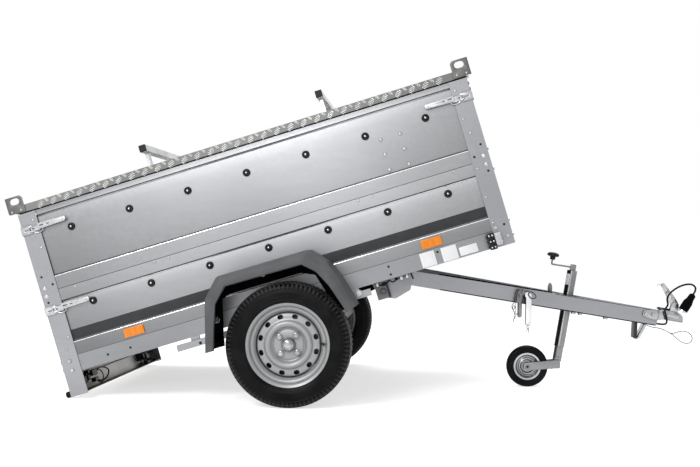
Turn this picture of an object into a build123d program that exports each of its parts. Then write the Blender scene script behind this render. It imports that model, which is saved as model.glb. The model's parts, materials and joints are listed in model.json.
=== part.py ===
# Single-axle tipping box trailer with raised boards and a hinged tread-plate cover.
# It stands uncoupled and tipped back: on its two wheels, its tail buffers and its jockey wheel.
# World frame, mm: +X forward to the coupling, +Y to the left, +Z up,
# origin on the floor, midway between the cover's rear corner and the coupling's nose.
from build123d import *
import math
import os

os.makedirs("parts", exist_ok=True)

# ---------------------------------------------------------------- driving dimensions
# Stance, degrees
TIP = 16.95                 # nose-up angle of the box
BAR_SLOPE = 9.4             # nose-down angle of the drawbar

# Box, in its own level frame: U forward from the axle, Y left, W up from the axle
TAIL_U = -1017              # outer faces of the corner posts
NOSE_U = 1042
HALF_W = 585
POST_W = 80                 # side leg of a corner post
POST_END = 42               # end leg of a corner post
SHEET = 2.5
POST_FOOT_REAR = 38
RAIL_W0 = 141               # underside of the side rails
RAIL_W1 = 213               # top of the side rails
BOARD_W1 = 514              # top of the lower boards
BOARD_W2 = 876              # top of the raised boards
LOW_PANEL = (RAIL_W1 + 58, BOARD_W1 - 55)       # pressed panel of a lower board
HIGH_PANEL = (BOARD_W1 + 60, BOARD_W2 - 25)     # pressed panel of a raised board
BOARD_T = 2
BOARD_FLANGE = 25
PRESS = 6                   # depth of the pressed panels
SEAM = 1                    # joint between stacked boards
GATE_GAP = 6                # clearance round a board that opens
FLOOR_T = 9

# Road wheels
TYRE_R = 266.5
TYRE_W = 150
TREAD_W = 118
WHEEL_Y = HALF_W + 100      # centre plane of a wheel from the centreline
RIM_R = 182.5               # over the flanges
RIM_W = 130                 # over the flanges
BEAD_R = 166
WELL_R = 142
RIM_T = 3.5
WHEEL_OFFSET = 30           # disc face outboard of the wheel's centre plane
VENTS = 12
VENT_R = 10.5
VENT_PCR = 121
PILOT_R = 29.5
BOLT_PCR = 50
WHEEL_BOLTS = 4
SHANK_R = 6
BOLT_HEAD_R = 8.5
SPINDLE_R = 17
HUB_CLEAR = 0.08            # radial running clearance of hub on spindle

# Cover
LID_GAP = 6                 # cover's skirt above the raised boards
LID_H = 32
LID_W0 = BOARD_W2 + LID_GAP
LID_W1 = LID_W0 + LID_H
LID_T = 2
LID_OUT = 3                 # how far the cover's skirt stands outside the box
LID_AXIS = (NOSE_U + 9, LID_W0 - 2)             # hinge pin of the cover
SEAL_T = LID_GAP - 0.3
LUG_T = 3
LUG_U = 78
LUG_H = 76
LUG_REAR_OUT = 35           # how far the rear brackets overhang the tail
LUG_FRONT_OUT = 26
LUG_W0 = LID_W0 + 2
LUG_TAIL = (TAIL_U - LUG_REAR_OUT, LUG_W0 + LUG_H)
BAR_SIZE = 29
BAR_RISE = 68               # clear height under the crossbars
BAR_W0 = LID_W1 + BAR_RISE
BARS_U = (-395, 415)
LEG_Y = HALF_W - 60

# Tip pivot of the drawbar, in the box frame
PIVOT_U = 428
PIVOT_W = 88
PIVOT_R = 12
PIVOT_Y = 395               # middle of a hinge bracket
GUSSET_T = 6
BRACKET_T = 5
SIDE_GAP = 1.5

# Drawbar, in its own frame: S forward from the tip pivot, Y left, T up square to the bar
ARM_S0 = 112
ARM_S1 = 1304
ARM_OUT0 = 343              # outer face of an arm from the centreline, rear and front
ARM_OUT1 = 35.5
ARM_W = 35
ARM_T = 81                  # centre height of the arms
ARM_H0 = 66                 # depth of an arm, rear and front
ARM_H1 = 75
NOSE_S = 1430               # foremost point of the coupling
NOSE_T = 96

# Jockey wheel on the drawbar
JOCKEY_S = 872
JOCKEY_R = 24
JOCKEY_WALL = 2
JOCKEY_T0 = -137
JOCKEY_T1 = 237
LEG_CLEAR = 0.1
TRAIL = 137                 # wheel axle behind the tube
JOCKEY_WHEEL_R = 100
JOCKEY_WHEEL_W = 50
JOCKEY_RIM_R = 64

# ---------------------------------------------------------------- frames and helpers
AXLE_Z = TYRE_R
S_TIP = math.sin(math.radians(TIP))
C_TIP = math.cos(math.radians(TIP))
S_BAR = math.sin(math.radians(BAR_SLOPE))
C_BAR = math.cos(math.radians(BAR_SLOPE))
PIVOT_DX = PIVOT_U * C_TIP - PIVOT_W * S_TIP        # tip pivot ahead of the axle
TAIL_DX = LUG_TAIL[0] * C_TIP - LUG_TAIL[1] * S_TIP  # rearmost corner, likewise
NOSE_DX = PIVOT_DX + NOSE_S * C_BAR + NOSE_T * S_BAR
AXLE_X = -(TAIL_DX + NOSE_DX) / 2
PIVOT_X = AXLE_X + PIVOT_DX
PIVOT_Z = AXLE_Z + PIVOT_U * S_TIP + PIVOT_W * C_TIP


def in_box(shape):
    """Box frame to world."""
    return Pos(AXLE_X, 0, AXLE_Z) * Rot(0, -TIP, 0) * shape


def in_bar(shape):
    """Drawbar frame to world."""
    return Pos(PIVOT_X, 0, PIVOT_Z) * Rot(0, BAR_SLOPE, 0) * shape


def bar_from_world(x, z):
    """World X and Z to the drawbar's S and T."""
    dx, dz = x - PIVOT_X, z - PIVOT_Z
    return dx * C_BAR - dz * S_BAR, dx * S_BAR + dz * C_BAR


def slab(x0, x1, y0, y1, z0, z1):
    """Box between two corners."""
    return Pos((x0 + x1) / 2, (y0 + y1) / 2, (z0 + z1) / 2) * Box(x1 - x0, y1 - y0, z1 - z0)


def plate(points, y0, y1):
    """Outline in X and Z, as thick as y0 to y1."""
    face = Face(Wire.make_polygon([(x, y0, z) for x, z in points], close=True))
    return extrude(face, amount=y1 - y0, dir=(0, 1, 0))


def section(points, x0, x1):
    """Outline in Y and Z, run from x0 to x1."""
    face = Face(Wire.make_polygon([(x0, y, z) for y, z in points], close=True))
    return extrude(face, amount=x1 - x0, dir=(1, 0, 0))


def rod_y(x, z, r, y0, y1):
    """Round bar along Y."""
    return Pos(x, (y0 + y1) / 2, z) * Rot(90, 0, 0) * Cylinder(r, y1 - y0)


def rod_x(y, z, r, x0, x1):
    """Round bar along X."""
    return Pos((x0 + x1) / 2, y, z) * Rot(0, 90, 0) * Cylinder(r, x1 - x0)


def rod_z(x, y, r, z0, z1):
    """Upright round bar."""
    return Pos(x, y, (z0 + z1) / 2) * Cylinder(r, z1 - z0)


def turned_y(points):
    """Outline in radius and Y, turned about the Y axis."""
    face = Face(Wire.make_polygon([(r, y, 0) for r, y in points], close=True))
    return revolve(face, Axis.Y, 360)


def mirrored(shape):
    """The same piece on the other side of the centreline."""
    return mirror(shape, Plane.XZ)


def both(shape):
    return [shape, mirrored(shape)]


def save(name, *shapes):
    """Writes one node; several solids share it when they are like pieces on one body."""
    solids = [s for shape in shapes for s in shape.solids()]
    export_step(solids[0] if len(solids) == 1 else Compound(solids), f"parts/{name}.step")


# ---------------------------------------------------------------- chassis
RAIL_FLANGE = POST_END - SHEET
RAIL_OUT = HALF_W - SHEET
BAY_Y = RAIL_OUT - RAIL_FLANGE          # clear half-width between the rails
FLOOR_W0 = RAIL_W1 + BOARD_T
FLOOR_W1 = FLOOR_W0 + FLOOR_T
NOTCH_Y = 330                           # the drawbar nests here when the box is level


def channel(u0, u1, y0, y1, w0, w1, open_to):
    """C-section between two corners; open_to is the side without a web: +u, -u or +y."""
    t = SHEET
    cut = {"+u": (u0 + t, u1 + 1, y0 - 1, y1 + 1),
           "-u": (u0 - 1, u1 - t, y0 - 1, y1 + 1),
           "+y": (u0 - 1, u1 + 1, y0 + t, y1 + 1)}[open_to]
    return slab(u0, u1, y0, y1, w0, w1) - slab(*cut, w0 + t, w1 - t)


def side_rail():
    """Right rail: C-section with its web outside."""
    return channel(TAIL_U + SHEET, NOSE_U - SHEET, -RAIL_OUT, -BAY_Y, RAIL_W0, RAIL_W1, "+y")


PIVOT_MEMBER_U = PIVOT_U - 38           # web of the cross member that carries the tip pivot
# u0, depth along U, underside, open side
CROSS_MEMBERS = [(TAIL_U, 40, RAIL_W0, "+u"),
                 (-470, 40, RAIL_W0, "+u"),
                 (130, 40, RAIL_W0, "+u"),
                 (PIVOT_MEMBER_U - 40, 40, RAIL_W0, "-u")]


def cross_members():
    """Channels between the rails, and two front stubs that leave room for the drawbar."""
    out = []
    for u0, depth, w0, side in CROSS_MEMBERS:
        out.append(channel(u0, u0 + depth, -BAY_Y, BAY_Y, w0, FLOOR_W0, side))
    stub = slab(NOSE_U - SHEET - BOARD_FLANGE, NOSE_U - SHEET, -BAY_Y, -NOTCH_Y, RAIL_W0, RAIL_W1)
    out += both(stub)
    return out


def floor():
    return slab(TAIL_U + BOARD_FLANGE + GATE_GAP + 1, NOSE_U - SHEET - BOARD_T - 1,
                -(RAIL_OUT - BOARD_T - 1), RAIL_OUT - BOARD_T - 1, FLOOR_W0, FLOOR_W1)


def post(u, inward, w0, w1):
    """Right corner post: angle section with its corner outside; inward is +1 at the tail."""
    side = slab(*sorted((u, u + inward * POST_W)), -HALF_W, -RAIL_OUT, w0, w1)
    end = slab(*sorted((u, u + inward * SHEET)), -HALF_W, -(HALF_W - POST_END), w0, w1)
    return side + end


# ---------------------------------------------------------------- boards
def board(length, height, low, high):
    """Pressed sheet board, centred on X, outer face on y = 0 towards -Y, foot on z = 0."""
    outer = [(0, 0), (0, low), (PRESS, low + PRESS), (PRESS, high - PRESS), (0, high), (0, height)]
    inner = [(y + BOARD_T, z) for y, z in reversed(outer)]
    web = section(outer + inner, -length / 2, length / 2)
    foot = slab(-length / 2, length / 2, 0, BOARD_FLANGE, 0, BOARD_T)
    head = slab(-length / 2, length / 2, 0, BOARD_FLANGE, height - BOARD_T, height)
    return web + foot + head


def capped(piece, length, height):
    """Adds end caps to a board that opens."""
    for end in (-1, 1):
        x = end * (length / 2 - BOARD_T / 2)
        piece += slab(x - BOARD_T / 2, x + BOARD_T / 2, 0, BOARD_FLANGE, 0, height)
    return piece


SIDE_U0 = TAIL_U + BOARD_FLANGE + GATE_GAP
SIDE_U1 = NOSE_U - SHEET - BOARD_FLANGE
GATE_Y = HALF_W - POST_END - GATE_GAP   # half-length of a board that opens
GATE_W0 = RAIL_W1 + GATE_GAP
GATE_W1 = BOARD_W1 - GATE_GAP
RAISED_GATE_W0 = BOARD_W1 + GATE_GAP


def side_board(w0, w1, panel, u1):
    length = u1 - SIDE_U0
    piece = board(length, w1 - w0, panel[0] - w0, panel[1] - w0)
    return Pos((u1 + SIDE_U0) / 2, -RAIL_OUT, w0) * piece


def end_board(u, face_turn, half, w0, w1, panel, caps):
    """Board across the box; face_turn -90 faces the tail, 90 the front."""
    piece = board(2 * half, w1 - w0, panel[0] - w0, panel[1] - w0)
    if caps:
        piece = capped(piece, 2 * half, w1 - w0)
    return Pos(u, 0, w0) * Rot(0, 0, face_turn) * piece


# ---------------------------------------------------------------- hinges of the gate and cover
KNUCKLE_R = 4.5
KNUCKLE_L = 24
LEAF_T = 2.5
GATE_AXIS = (TAIL_U - 2 * LEAF_T, RAIL_W1 + 3)
GATE_HINGE_Y = (-400, 0, 400)


def gate_hinges():
    """Fixed leaves on the rear cross member, moving leaves on the lower gate."""
    fixed, moving = [], []
    u, w = GATE_AXIS
    for y in GATE_HINGE_Y:
        ya, yb, yc, yd = (y + k * KNUCKLE_L for k in (-1.5, -0.5, 0.5, 1.5))
        leaf = slab(TAIL_U - LEAF_T, TAIL_U, ya, yd, w - 40, w - KNUCKLE_R)
        for y0, y1 in ((ya, yb), (yc, yd)):
            leaf += rod_y(u, w, KNUCKLE_R, y0, y1)
            leaf += slab(u - 1, TAIL_U, y0, y1, w - KNUCKLE_R - 2, w - KNUCKLE_R + 2)
        fixed.append(leaf)
        tongue = slab(TAIL_U - LEAF_T, TAIL_U, yb + 0.5, yc - 0.5, GATE_W0, w + 38)
        tongue += rod_y(u, w, KNUCKLE_R, yb + 0.5, yc - 0.5)
        tongue += slab(u - 1, TAIL_U, yb + 0.5, yc - 0.5, w + KNUCKLE_R - 2, w + KNUCKLE_R + 2)
        moving.append(tongue)
    return fixed, moving


LID_LEAF_Y = (HALF_W - POST_END + 1, HALF_W - POST_END + 30)
LID_LEAF_DROP = 108                     # foot of the fixed leaf below the pin


def lid_hinge():
    """Right pair of leaves: fixed on the front post, moving on the cover's front skirt."""
    u, w = LID_AXIS
    y0, y1 = -LID_LEAF_Y[1], -LID_LEAF_Y[0]
    mid = (y0 + y1) / 2
    fixed = slab(NOSE_U, NOSE_U + LEAF_T, y0, y1, w - LID_LEAF_DROP, w - KNUCKLE_R)
    fixed += slab(NOSE_U, u + 1, y0, mid - 0.5, w - KNUCKLE_R - 2, w - KNUCKLE_R + 2)
    fixed += rod_y(u, w, KNUCKLE_R, y0, mid - 0.5)
    skirt = NOSE_U + LID_OUT
    moving = slab(skirt, skirt + LEAF_T, mid + 0.5, y1, w + KNUCKLE_R, LID_W1 - 2)
    moving += slab(skirt, u + 1, mid + 0.5, y1, w + KNUCKLE_R - 2, w + KNUCKLE_R + 2)
    moving += rod_y(u, w, KNUCKLE_R, mid + 0.5, y1)
    return fixed, moving


PIN_R = 5
PIN_IN = 12                             # pin axis inboard of the end faces
PIN_UP = 12                             # and above the raised board's foot


def raised_pins(u):
    """Pivot pins of a raised end board, from its end cap to the post's side leg."""
    w = RAISED_GATE_W0 + PIN_UP
    return [rod_y(u, w, PIN_R, -(RAIL_OUT - 0.3), -GATE_Y + 1),
            rod_y(u, w, PIN_R, GATE_Y - 1, RAIL_OUT - 0.3)]


# ---------------------------------------------------------------- toggle latches
LATCH_H = 26
LATCH_LEVER = 150
LATCH_STRAP = 48                        # length of the strap along the side
LATCH_BODY = 38
HIGH_LATCH_W = BOARD_W2 - 77
LOW_LATCH_W = BOARD_W1 - 84


def latch(u_edge, inward, w):
    """Right-side toggle latch: strap round the post's edge, body and lever along the board."""
    out = -HALF_W

    def span(a, b):
        return sorted((u_edge + inward * a, u_edge + inward * b))
    strap = slab(*span(-3, LATCH_STRAP), out - 5, out - 2.5, w - 9, w + 9)
    strap += slab(*span(-3, -0.5), out - 5, out + 9, w - 14, w + 14)
    start, end = LATCH_STRAP - 10, LATCH_STRAP - 10 + LATCH_BODY
    body = slab(*span(start, end), out - 9, out, w - LATCH_H / 2, w + LATCH_H / 2)
    lever = slab(*span(end - 6, end - 6 + LATCH_LEVER), out - 12, out - 8, w - 4, w + 14)
    heel = slab(*span(POST_W, POST_W + 32), out - 9, out + SHEET, w - 2, w + 10)
    return strap + body + lever + heel


# ---------------------------------------------------------------- cover
def lid():
    """Folded tread-plate tray, open below, with a return flange along both sides."""
    u0, u1 = TAIL_U - LID_OUT, NOSE_U + LID_OUT
    y = HALF_W + LID_OUT
    tray = slab(u0, u1, -y, y, LID_W0, LID_W1)
    tray -= slab(u0 + LID_T, u1 - LID_T, -(y - LID_T), y - LID_T, LID_W0 - 1, LID_W1 - LID_T)
    for side in both(slab(u0 + 30, u1 - 30, -y, -(y - 24), LID_W0, LID_W0 + LID_T)):
        tray += side
    return tray


def lid_seal():
    """Rubber strip under the return flange, on top of the right side board."""
    return slab(TAIL_U + 60, NOSE_U - 60, -(HALF_W - 3), -(HALF_W - 21), LID_W0 - SEAL_T, LID_W0)


def lug(u0, w0):
    """Corner bracket on the cover's skirt with an oblong eye."""
    y = -(HALF_W + LID_OUT)
    body = slab(u0, u0 + LUG_U, y - LUG_T, y, w0, w0 + LUG_H)
    eye_u, eye_w = u0 + LUG_U / 2, w0 + 54
    eye = rod_y(eye_u, eye_w, 14, y - LUG_T - 1, y + 1)
    return body - eye


def lid_bar(u):
    """Square crossbar on two upright legs."""
    half = BAR_SIZE / 2
    tube = slab(u - half, u + half, -HALF_W, HALF_W, BAR_W0, BAR_W0 + BAR_SIZE)
    inner = half - 2
    tube -= slab(u - inner, u + inner, -HALF_W + 3, HALF_W - 3, BAR_W0 + 2, BAR_W0 + BAR_SIZE - 2)
    for leg in both(slab(u - 6, u + 6, -LEG_Y - 20, -LEG_Y + 20, LID_W1, BAR_W0)):
        tube += leg
    return tube


# ---------------------------------------------------------------- tail and lamps
TAIL_BOARD_W0 = 44
BUFFER_R = 14
BUFFER_L = 20
# the buffer's lower rim touches the floor
BUFFER_W = (-AXLE_Z - (TAIL_U - BUFFER_L) * S_TIP) / C_TIP + BUFFER_R
LAMP_Y = (HALF_W - 200, HALF_W - 80)
LAMP_W = (TAIL_BOARD_W0 + 18, RAIL_W0 - 9)
LAMP_OUT = 26
LAMP_BACK = 22


def light_board():
    """Sheet below the rear cross member with a lower flange and a seat for each lamp."""
    y = RAIL_OUT
    web = slab(TAIL_U + SHEET, TAIL_U + 2 * SHEET, -y, y, TAIL_BOARD_W0, RAIL_W0)
    web += slab(TAIL_U + SHEET, TAIL_U + POST_W, -y, y, TAIL_BOARD_W0, TAIL_BOARD_W0 + SHEET)
    for hole in both(slab(TAIL_U, TAIL_U + 10, -LAMP_Y[1] + 16, -LAMP_Y[0] - 16,
                          LAMP_W[0] + 12, LAMP_W[1] - 12)):
        web -= hole
    return web


def rear_lamp():
    outer = slab(TAIL_U + SHEET - LAMP_OUT, TAIL_U + SHEET, -LAMP_Y[1], -LAMP_Y[0], *LAMP_W)
    back = slab(TAIL_U + SHEET, TAIL_U + SHEET + LAMP_BACK, -LAMP_Y[1] + 16, -LAMP_Y[0] - 16,
                LAMP_W[0] + 12, LAMP_W[1] - 12)
    return outer + back


def buffer():
    return rod_x(-(HALF_W - 24), BUFFER_W, BUFFER_R, TAIL_U - BUFFER_L, TAIL_U)


LAMP_U = (NOSE_U - 111, NOSE_U - 79, NOSE_U - 52)   # front lamp: back of base, front of base, front of lens
FRONT_LAMP_Y = HALF_W + 45
FRONT_LAMP_W = (RAIL_W0 - 5, RAIL_W0 + 65)


def front_lamp_base():
    return slab(LAMP_U[0], LAMP_U[1] - 2, -FRONT_LAMP_Y, -RAIL_OUT, *FRONT_LAMP_W)


def front_lamp_lens():
    return slab(LAMP_U[1] - 2, LAMP_U[2], -FRONT_LAMP_Y + 3, -HALF_W - 5, FRONT_LAMP_W[0] + 12,
                FRONT_LAMP_W[1] - 4)


REFLECTOR_U = (-662, 698)
REFLECTOR = (92, 40, 6)                 # length, height and thickness
REFLECTOR_W = RAIL_W1 + 7


def reflector(u):
    length, height, depth = REFLECTOR
    return slab(u - length / 2, u + length / 2, -RAIL_OUT - depth, -RAIL_OUT, REFLECTOR_W, REFLECTOR_W + height)


# ---------------------------------------------------------------- mudguards and their bars
GUARD_Y = (HALF_W + 15, HALF_W + 187)
GUARD_T = 3.5
# outline of the guard's skin from rear foot to front foot, in U and W
GUARD = [(-344, 66), (-281, 283), (-211, 357), (-198, 361), (192, 360), (261, 292), (295, 208), (336, 76)]
# inner edge of its lip, likewise
GUARD_LIP = [(-302, 66), (-276, 149), (-240, 250), (-179, 311), (155, 307), (207, 260), (245, 190), (289, 66)]


def offset_inward(points, d):
    """Moves an arch outline towards its inside by d."""
    cu, cw = -4, 120
    out = []
    for u, w in points:
        r = math.hypot(u - cu, w - cw)
        out.append((u + (cu - u) * d / r, w + (cw - w) * d / r))
    return out


def mudguard():
    """Faceted arch: skin, broad outer lip and narrow inner flange."""
    y_in, y_out = -GUARD_Y[0], -GUARD_Y[1]
    inner = offset_inward(GUARD, GUARD_T * 1.15)
    skin = plate(GUARD + inner[::-1], y_out, y_in)
    lip = plate(GUARD + GUARD_LIP[::-1], y_out, y_out + GUARD_T)
    flange = plate(GUARD + offset_inward(GUARD, 30)[::-1], y_in - GUARD_T, y_in)
    return skin + lip + flange


BAR_U = (-496, 389)
BAR_H = (RAIL_W0 - 44, RAIL_W0 - 15)
BAR_Y = (HALF_W - 13, GUARD_Y[0])


def guard_bar():
    """Angle bar under the rail that carries a mudguard, with its two spacers."""
    bar = slab(*BAR_U, -BAR_Y[1], -BAR_Y[1] + 3, *BAR_H) + slab(*BAR_U, -BAR_Y[1], -BAR_Y[0],
                                                                 BAR_H[1] - 3, BAR_H[1])
    for u in (-430, 300):
        bar += slab(u, u + 40, -RAIL_OUT, -BAR_Y[0], BAR_H[1], RAIL_W0)
    return bar


# ---------------------------------------------------------------- axle
BEAM = (150, 30, 70)                    # centre U, centre W and side of the axle tube
BEAM_Y = HALF_W - 29
SWING_Y = (BEAM_Y, HALF_W + 5)
SPINDLE_Y = WHEEL_Y + 31


def axle_bracket():
    """Saddle from the axle tube up to the right rail."""
    u, w, size = BEAM
    h = size / 2
    y0, y1 = -RAIL_OUT + 4, -BAY_Y
    saddle = slab(u - h - 6, u + h + 6, y0 + 24, y1 - 4, w + h, RAIL_W0)
    return saddle - slab(u - h, u + h, y0 + 23, y1 - 3, w + h + 8, RAIL_W0 - 8)


def axle_beam():
    """Square tube with a saddle under each rail."""
    u, w, size = BEAM
    h = size / 2
    tube = slab(u - h, u + h, -BEAM_Y, BEAM_Y, w - h, w + h)
    tube -= slab(u - h + 4, u + h - 4, -BEAM_Y - 1, BEAM_Y + 1, w - h + 4, w + h - 4)
    for saddle in both(axle_bracket()):
        tube += saddle
    return tube


def swing_arm():
    """Trailing arm from the axle tube's end to the wheel spindle."""
    u, w, size = BEAM
    y0, y1 = -SWING_Y[1], -SWING_Y[0]
    arm = rod_y(u, w, 38, y0, y1) + rod_y(0, 0, 30, y0, y1)
    d = math.hypot(u, w)
    nu, nw = -w / d, u / d
    arm += plate([(nu * 24, nw * 24), (u + nu * 30, w + nw * 30), (u - nu * 30, w - nw * 30),
                  (-nu * 24, -nw * 24)], y0, y1)
    arm += rod_y(0, 0, SPINDLE_R, -SPINDLE_Y, y0)
    return arm


# ---------------------------------------------------------------- road wheels, about their own axle
DISC_Y = -(WHEEL_Y + WHEEL_OFFSET)      # outer face of the hub flange on the right wheel


def bolt_circle():
    """Centres of the wheel bolts."""
    turns = [2 * math.pi * (k + 0.5) / WHEEL_BOLTS for k in range(WHEEL_BOLTS)]
    return [(BOLT_PCR * math.cos(a), BOLT_PCR * math.sin(a)) for a in turns]


def rim():
    """Right rim: barrel with a drop centre, disc with vents, pilot hole and bolt holes."""
    o, i = -(WHEEL_Y + RIM_W / 2), -(WHEEL_Y - RIM_W / 2)
    t = RIM_T
    barrel = [(RIM_R, o), (RIM_R, o + t), (BEAD_R, o + 9), (BEAD_R, o + 32), (WELL_R, o + 44),
              (WELL_R, o + 78), (BEAD_R, i - 30), (BEAD_R, i - 9), (RIM_R, i - t), (RIM_R, i),
              (BEAD_R - t, i - 6), (BEAD_R - t, i - 28), (WELL_R - t, o + 80), (WELL_R - t, o + 42),
              (BEAD_R - t, o + 30), (BEAD_R - t, o + 6)]
    f = DISC_Y
    well = WELL_R - t + 0.5
    disc = [(PILOT_R, f - t), (68, f - t), (76, f - t - 12), (104, f - t - 12), (110, f - t - 2),
            (132, f - t + 2), (well, f - t + 14), (well, f + t + 14), (128, f + 2), (108, f - 2),
            (101, f - 12), (78, f - 12), (70, f), (PILOT_R, f)]
    wheel = turned_y(barrel) + turned_y(disc)
    for x, z in bolt_circle():
        wheel -= rod_y(x, z, SHANK_R + 0.2, f - 30, f + 30)
    for k in range(VENTS):
        a = 2 * math.pi * k / VENTS
        wheel -= rod_y(VENT_PCR * math.cos(a), VENT_PCR * math.sin(a), VENT_R, f - 30, f + 30)
    return wheel


def tyre():
    """Right tyre on the bead seats."""
    c = -WHEEL_Y
    b = RIM_W / 2 - 9
    h, s = TREAD_W / 2, TYRE_W / 2
    crown = TYRE_R
    half = [(BEAD_R + 0.2, b - 1), (BEAD_R + 14, b + 3), (BEAD_R + 30, s - 6), (BEAD_R + 48, s),
            (BEAD_R + 66, s - 3), (crown - 14, h + 10), (crown - 3, h), (crown, h - 14)]
    ring = [(r, c + y) for r, y in half] + [(r, c - y) for r, y in reversed(half)]
    return turned_y(ring)


def hub():
    """Right hub: barrel, flange with bolt heads, grease cap; bored for the spindle."""
    f = DISC_Y
    bore = SPINDLE_R + HUB_CLEAR
    body = rod_y(0, 0, 40, f + 10, -SWING_Y[1] - 6) + rod_y(0, 0, 66, f, f + 10)
    cap = rod_y(0, 0, 28, f - 26, f)
    body = body + cap
    for x, z in bolt_circle():
        body += rod_y(x, z, SHANK_R, f - RIM_T, f)
        body += rod_y(x, z, BOLT_HEAD_R, f - RIM_T - 11, f - RIM_T)
    return body - rod_y(0, 0, bore, -SPINDLE_Y - 3, 0)


def on_axle(shape):
    return Pos(AXLE_X, 0, AXLE_Z) * shape


# ---------------------------------------------------------------- tip pivot
BRACKET_U = (PIVOT_U - 32, PIVOT_U + 28)
BRACKET_W0 = PIVOT_W - 31


def tip_bracket():
    """Right bracket: two cheeks on the cross member, either side of the drawbar's gusset."""
    cheeks = []
    for y in (PIVOT_Y + GUSSET_T / 2 + SIDE_GAP, PIVOT_Y - GUSSET_T / 2 - SIDE_GAP - BRACKET_T):
        cheek = slab(*BRACKET_U, -y - BRACKET_T, -y, BRACKET_W0, RAIL_W1 - 8)
        cheek += slab(PIVOT_MEMBER_U, BRACKET_U[0], -y - BRACKET_T, -y, RAIL_W0, RAIL_W1 - 8)
        cheeks.append(cheek)
    reach = GUSSET_T / 2 + SIDE_GAP + BRACKET_T
    pin = rod_y(PIVOT_U, PIVOT_W, PIVOT_R, -PIVOT_Y - reach - 4, -PIVOT_Y + reach + 4)
    return cheeks[0] + cheeks[1] + pin


TUBE_SIDE = 50


def gusset():
    """Right end plate of the drawbar, from the tip pivot up to the cross tube."""
    y0, y1 = -PIVOT_Y - GUSSET_T / 2, -PIVOT_Y + GUSSET_T / 2
    eye = rod_y(0, 0, 27, y0, y1)
    outline = [(-18, 18), (-6, -26), (60, -20), (118, 30), (118, ARM_T + ARM_H0 / 2),
               (50, ARM_T + ARM_H0 / 2), (20, 60)]
    return eye + plate(outline, y0, y1) - rod_y(0, 0, PIVOT_R + 0.1, y0 - 1, y1 + 1)


def rear_tube():
    """Square tube between the gussets that carries both arms."""
    h = TUBE_SIDE / 2
    y = PIVOT_Y - GUSSET_T / 2
    s0 = ARM_S0 - TUBE_SIDE
    tube = slab(s0, ARM_S0, -y, y, ARM_T - h, ARM_T + h)
    return tube - slab(s0 + 3, ARM_S0 - 3, -y - 1, y + 1, ARM_T - h + 3, ARM_T + h - 3)


# ---------------------------------------------------------------- drawbar
ARM_WALL = 3
ARM_SLANT = (ARM_OUT0 - ARM_OUT1) / (ARM_S1 - ARM_S0)
ARM_TURN = math.degrees(math.atan(ARM_SLANT))       # plan angle of the right arm


def arm_out(s):
    """Distance of an arm's outer face from the centreline."""
    return ARM_OUT0 - ARM_SLANT * (s - ARM_S0)


def arm_half(s):
    """Half the depth of an arm."""
    return (ARM_H0 + (ARM_H1 - ARM_H0) * (s - ARM_S0) / (ARM_S1 - ARM_S0)) / 2


def on_arm(shape, s):
    """Puts a piece on the right arm's outer face; its own -Y points outwards."""
    return Pos(s, -arm_out(s), 0) * Rot(0, 0, ARM_TURN) * shape


def arm_prism(inset, s0, s1):
    """Solid of the right arm between two stations, shrunk by inset on its four sides."""
    wires = []
    for s in (s0, s1):
        y0, y1 = -arm_out(s) + inset, -arm_out(s) + ARM_W - inset
        t0, t1 = ARM_T - arm_half(s) + inset, ARM_T + arm_half(s) - inset
        wires.append(Wire.make_polygon([(s, y0, t0), (s, y1, t0), (s, y1, t1), (s, y0, t1)], close=True))
    return Solid.make_loft(wires, True)


def arm():
    """Right arm: hollow tapered box section from the rear tube to the coupling."""
    return arm_prism(0, ARM_S0, ARM_S1) - arm_prism(ARM_WALL, ARM_S0 - 10, ARM_S1 - ARM_WALL)


# ---------------------------------------------------------------- coupling
BALL_R = 25
BALL_S = NOSE_S - 38
BALL_T = NOSE_T - 8
BALL_CLEAR = 0.5
CHEEK_S = (1238, 1300, 1345)            # rear end, bend and front end of the coupling's cheeks
COUPLING_T = 3
CUP_Y = 30
HANDLE_PIVOT = (BALL_S - 12, BALL_T + 70)
HANDLE_PIN_R = 4
EAR_Y = (12, 16)                        # inner and outer faces of the handle's ears


def coupling_head():
    """Pressed ball coupling: cheeks on the arms' tips, body, cup, and ears with the handle's pin."""
    s0, s1, s2 = CHEEK_S
    t = COUPLING_T
    profile = plate([(s0, 82), (s0, 108), (s1, 116), (s2, 128), (s2, 74), (s1, 70)], -80, 80)
    tip = ARM_OUT1 + t
    front = ARM_S1 + 2
    plan = [(s0, -arm_out(s0) - t), (ARM_S1, -tip), (s2, -tip), (s2, 1), (front, 1), (front, -ARM_OUT1),
            (ARM_S1, -ARM_OUT1), (s0, -arm_out(s0))]
    cheek = extrude(Face(Wire.make_polygon([(s, y, 0) for s, y in plan], close=True)), amount=200,
                    dir=(0, 0, 1)) & profile
    cup = plate([(front, BALL_T + 34), (BALL_S - 52, BALL_T + 46), (BALL_S + 8, BALL_T + 42),
                 (NOSE_S - 6, NOSE_T + 18), (NOSE_S, NOSE_T), (NOSE_S, NOSE_T - 20), (front, BALL_T - 14)],
                -CUP_Y, CUP_Y)
    head = cheek + mirrored(cheek) + cup
    ps, pt = HANDLE_PIVOT
    outline = [(ps - 18, pt - 32), (ps - 14, pt + 8), (ps + 14, pt + 8), (ps + 18, pt - 34)]
    for ear in both(plate(outline, -EAR_Y[1], -EAR_Y[0])):
        head += ear
    head -= Pos(BALL_S, 0, BALL_T) * Sphere(BALL_R + BALL_CLEAR)
    head -= rod_z(BALL_S, 0, BALL_R + BALL_CLEAR, NOSE_T - 36, BALL_T)
    return head + rod_y(ps, pt, HANDLE_PIN_R, -EAR_Y[1] - 2, EAR_Y[1] + 2)


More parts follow.
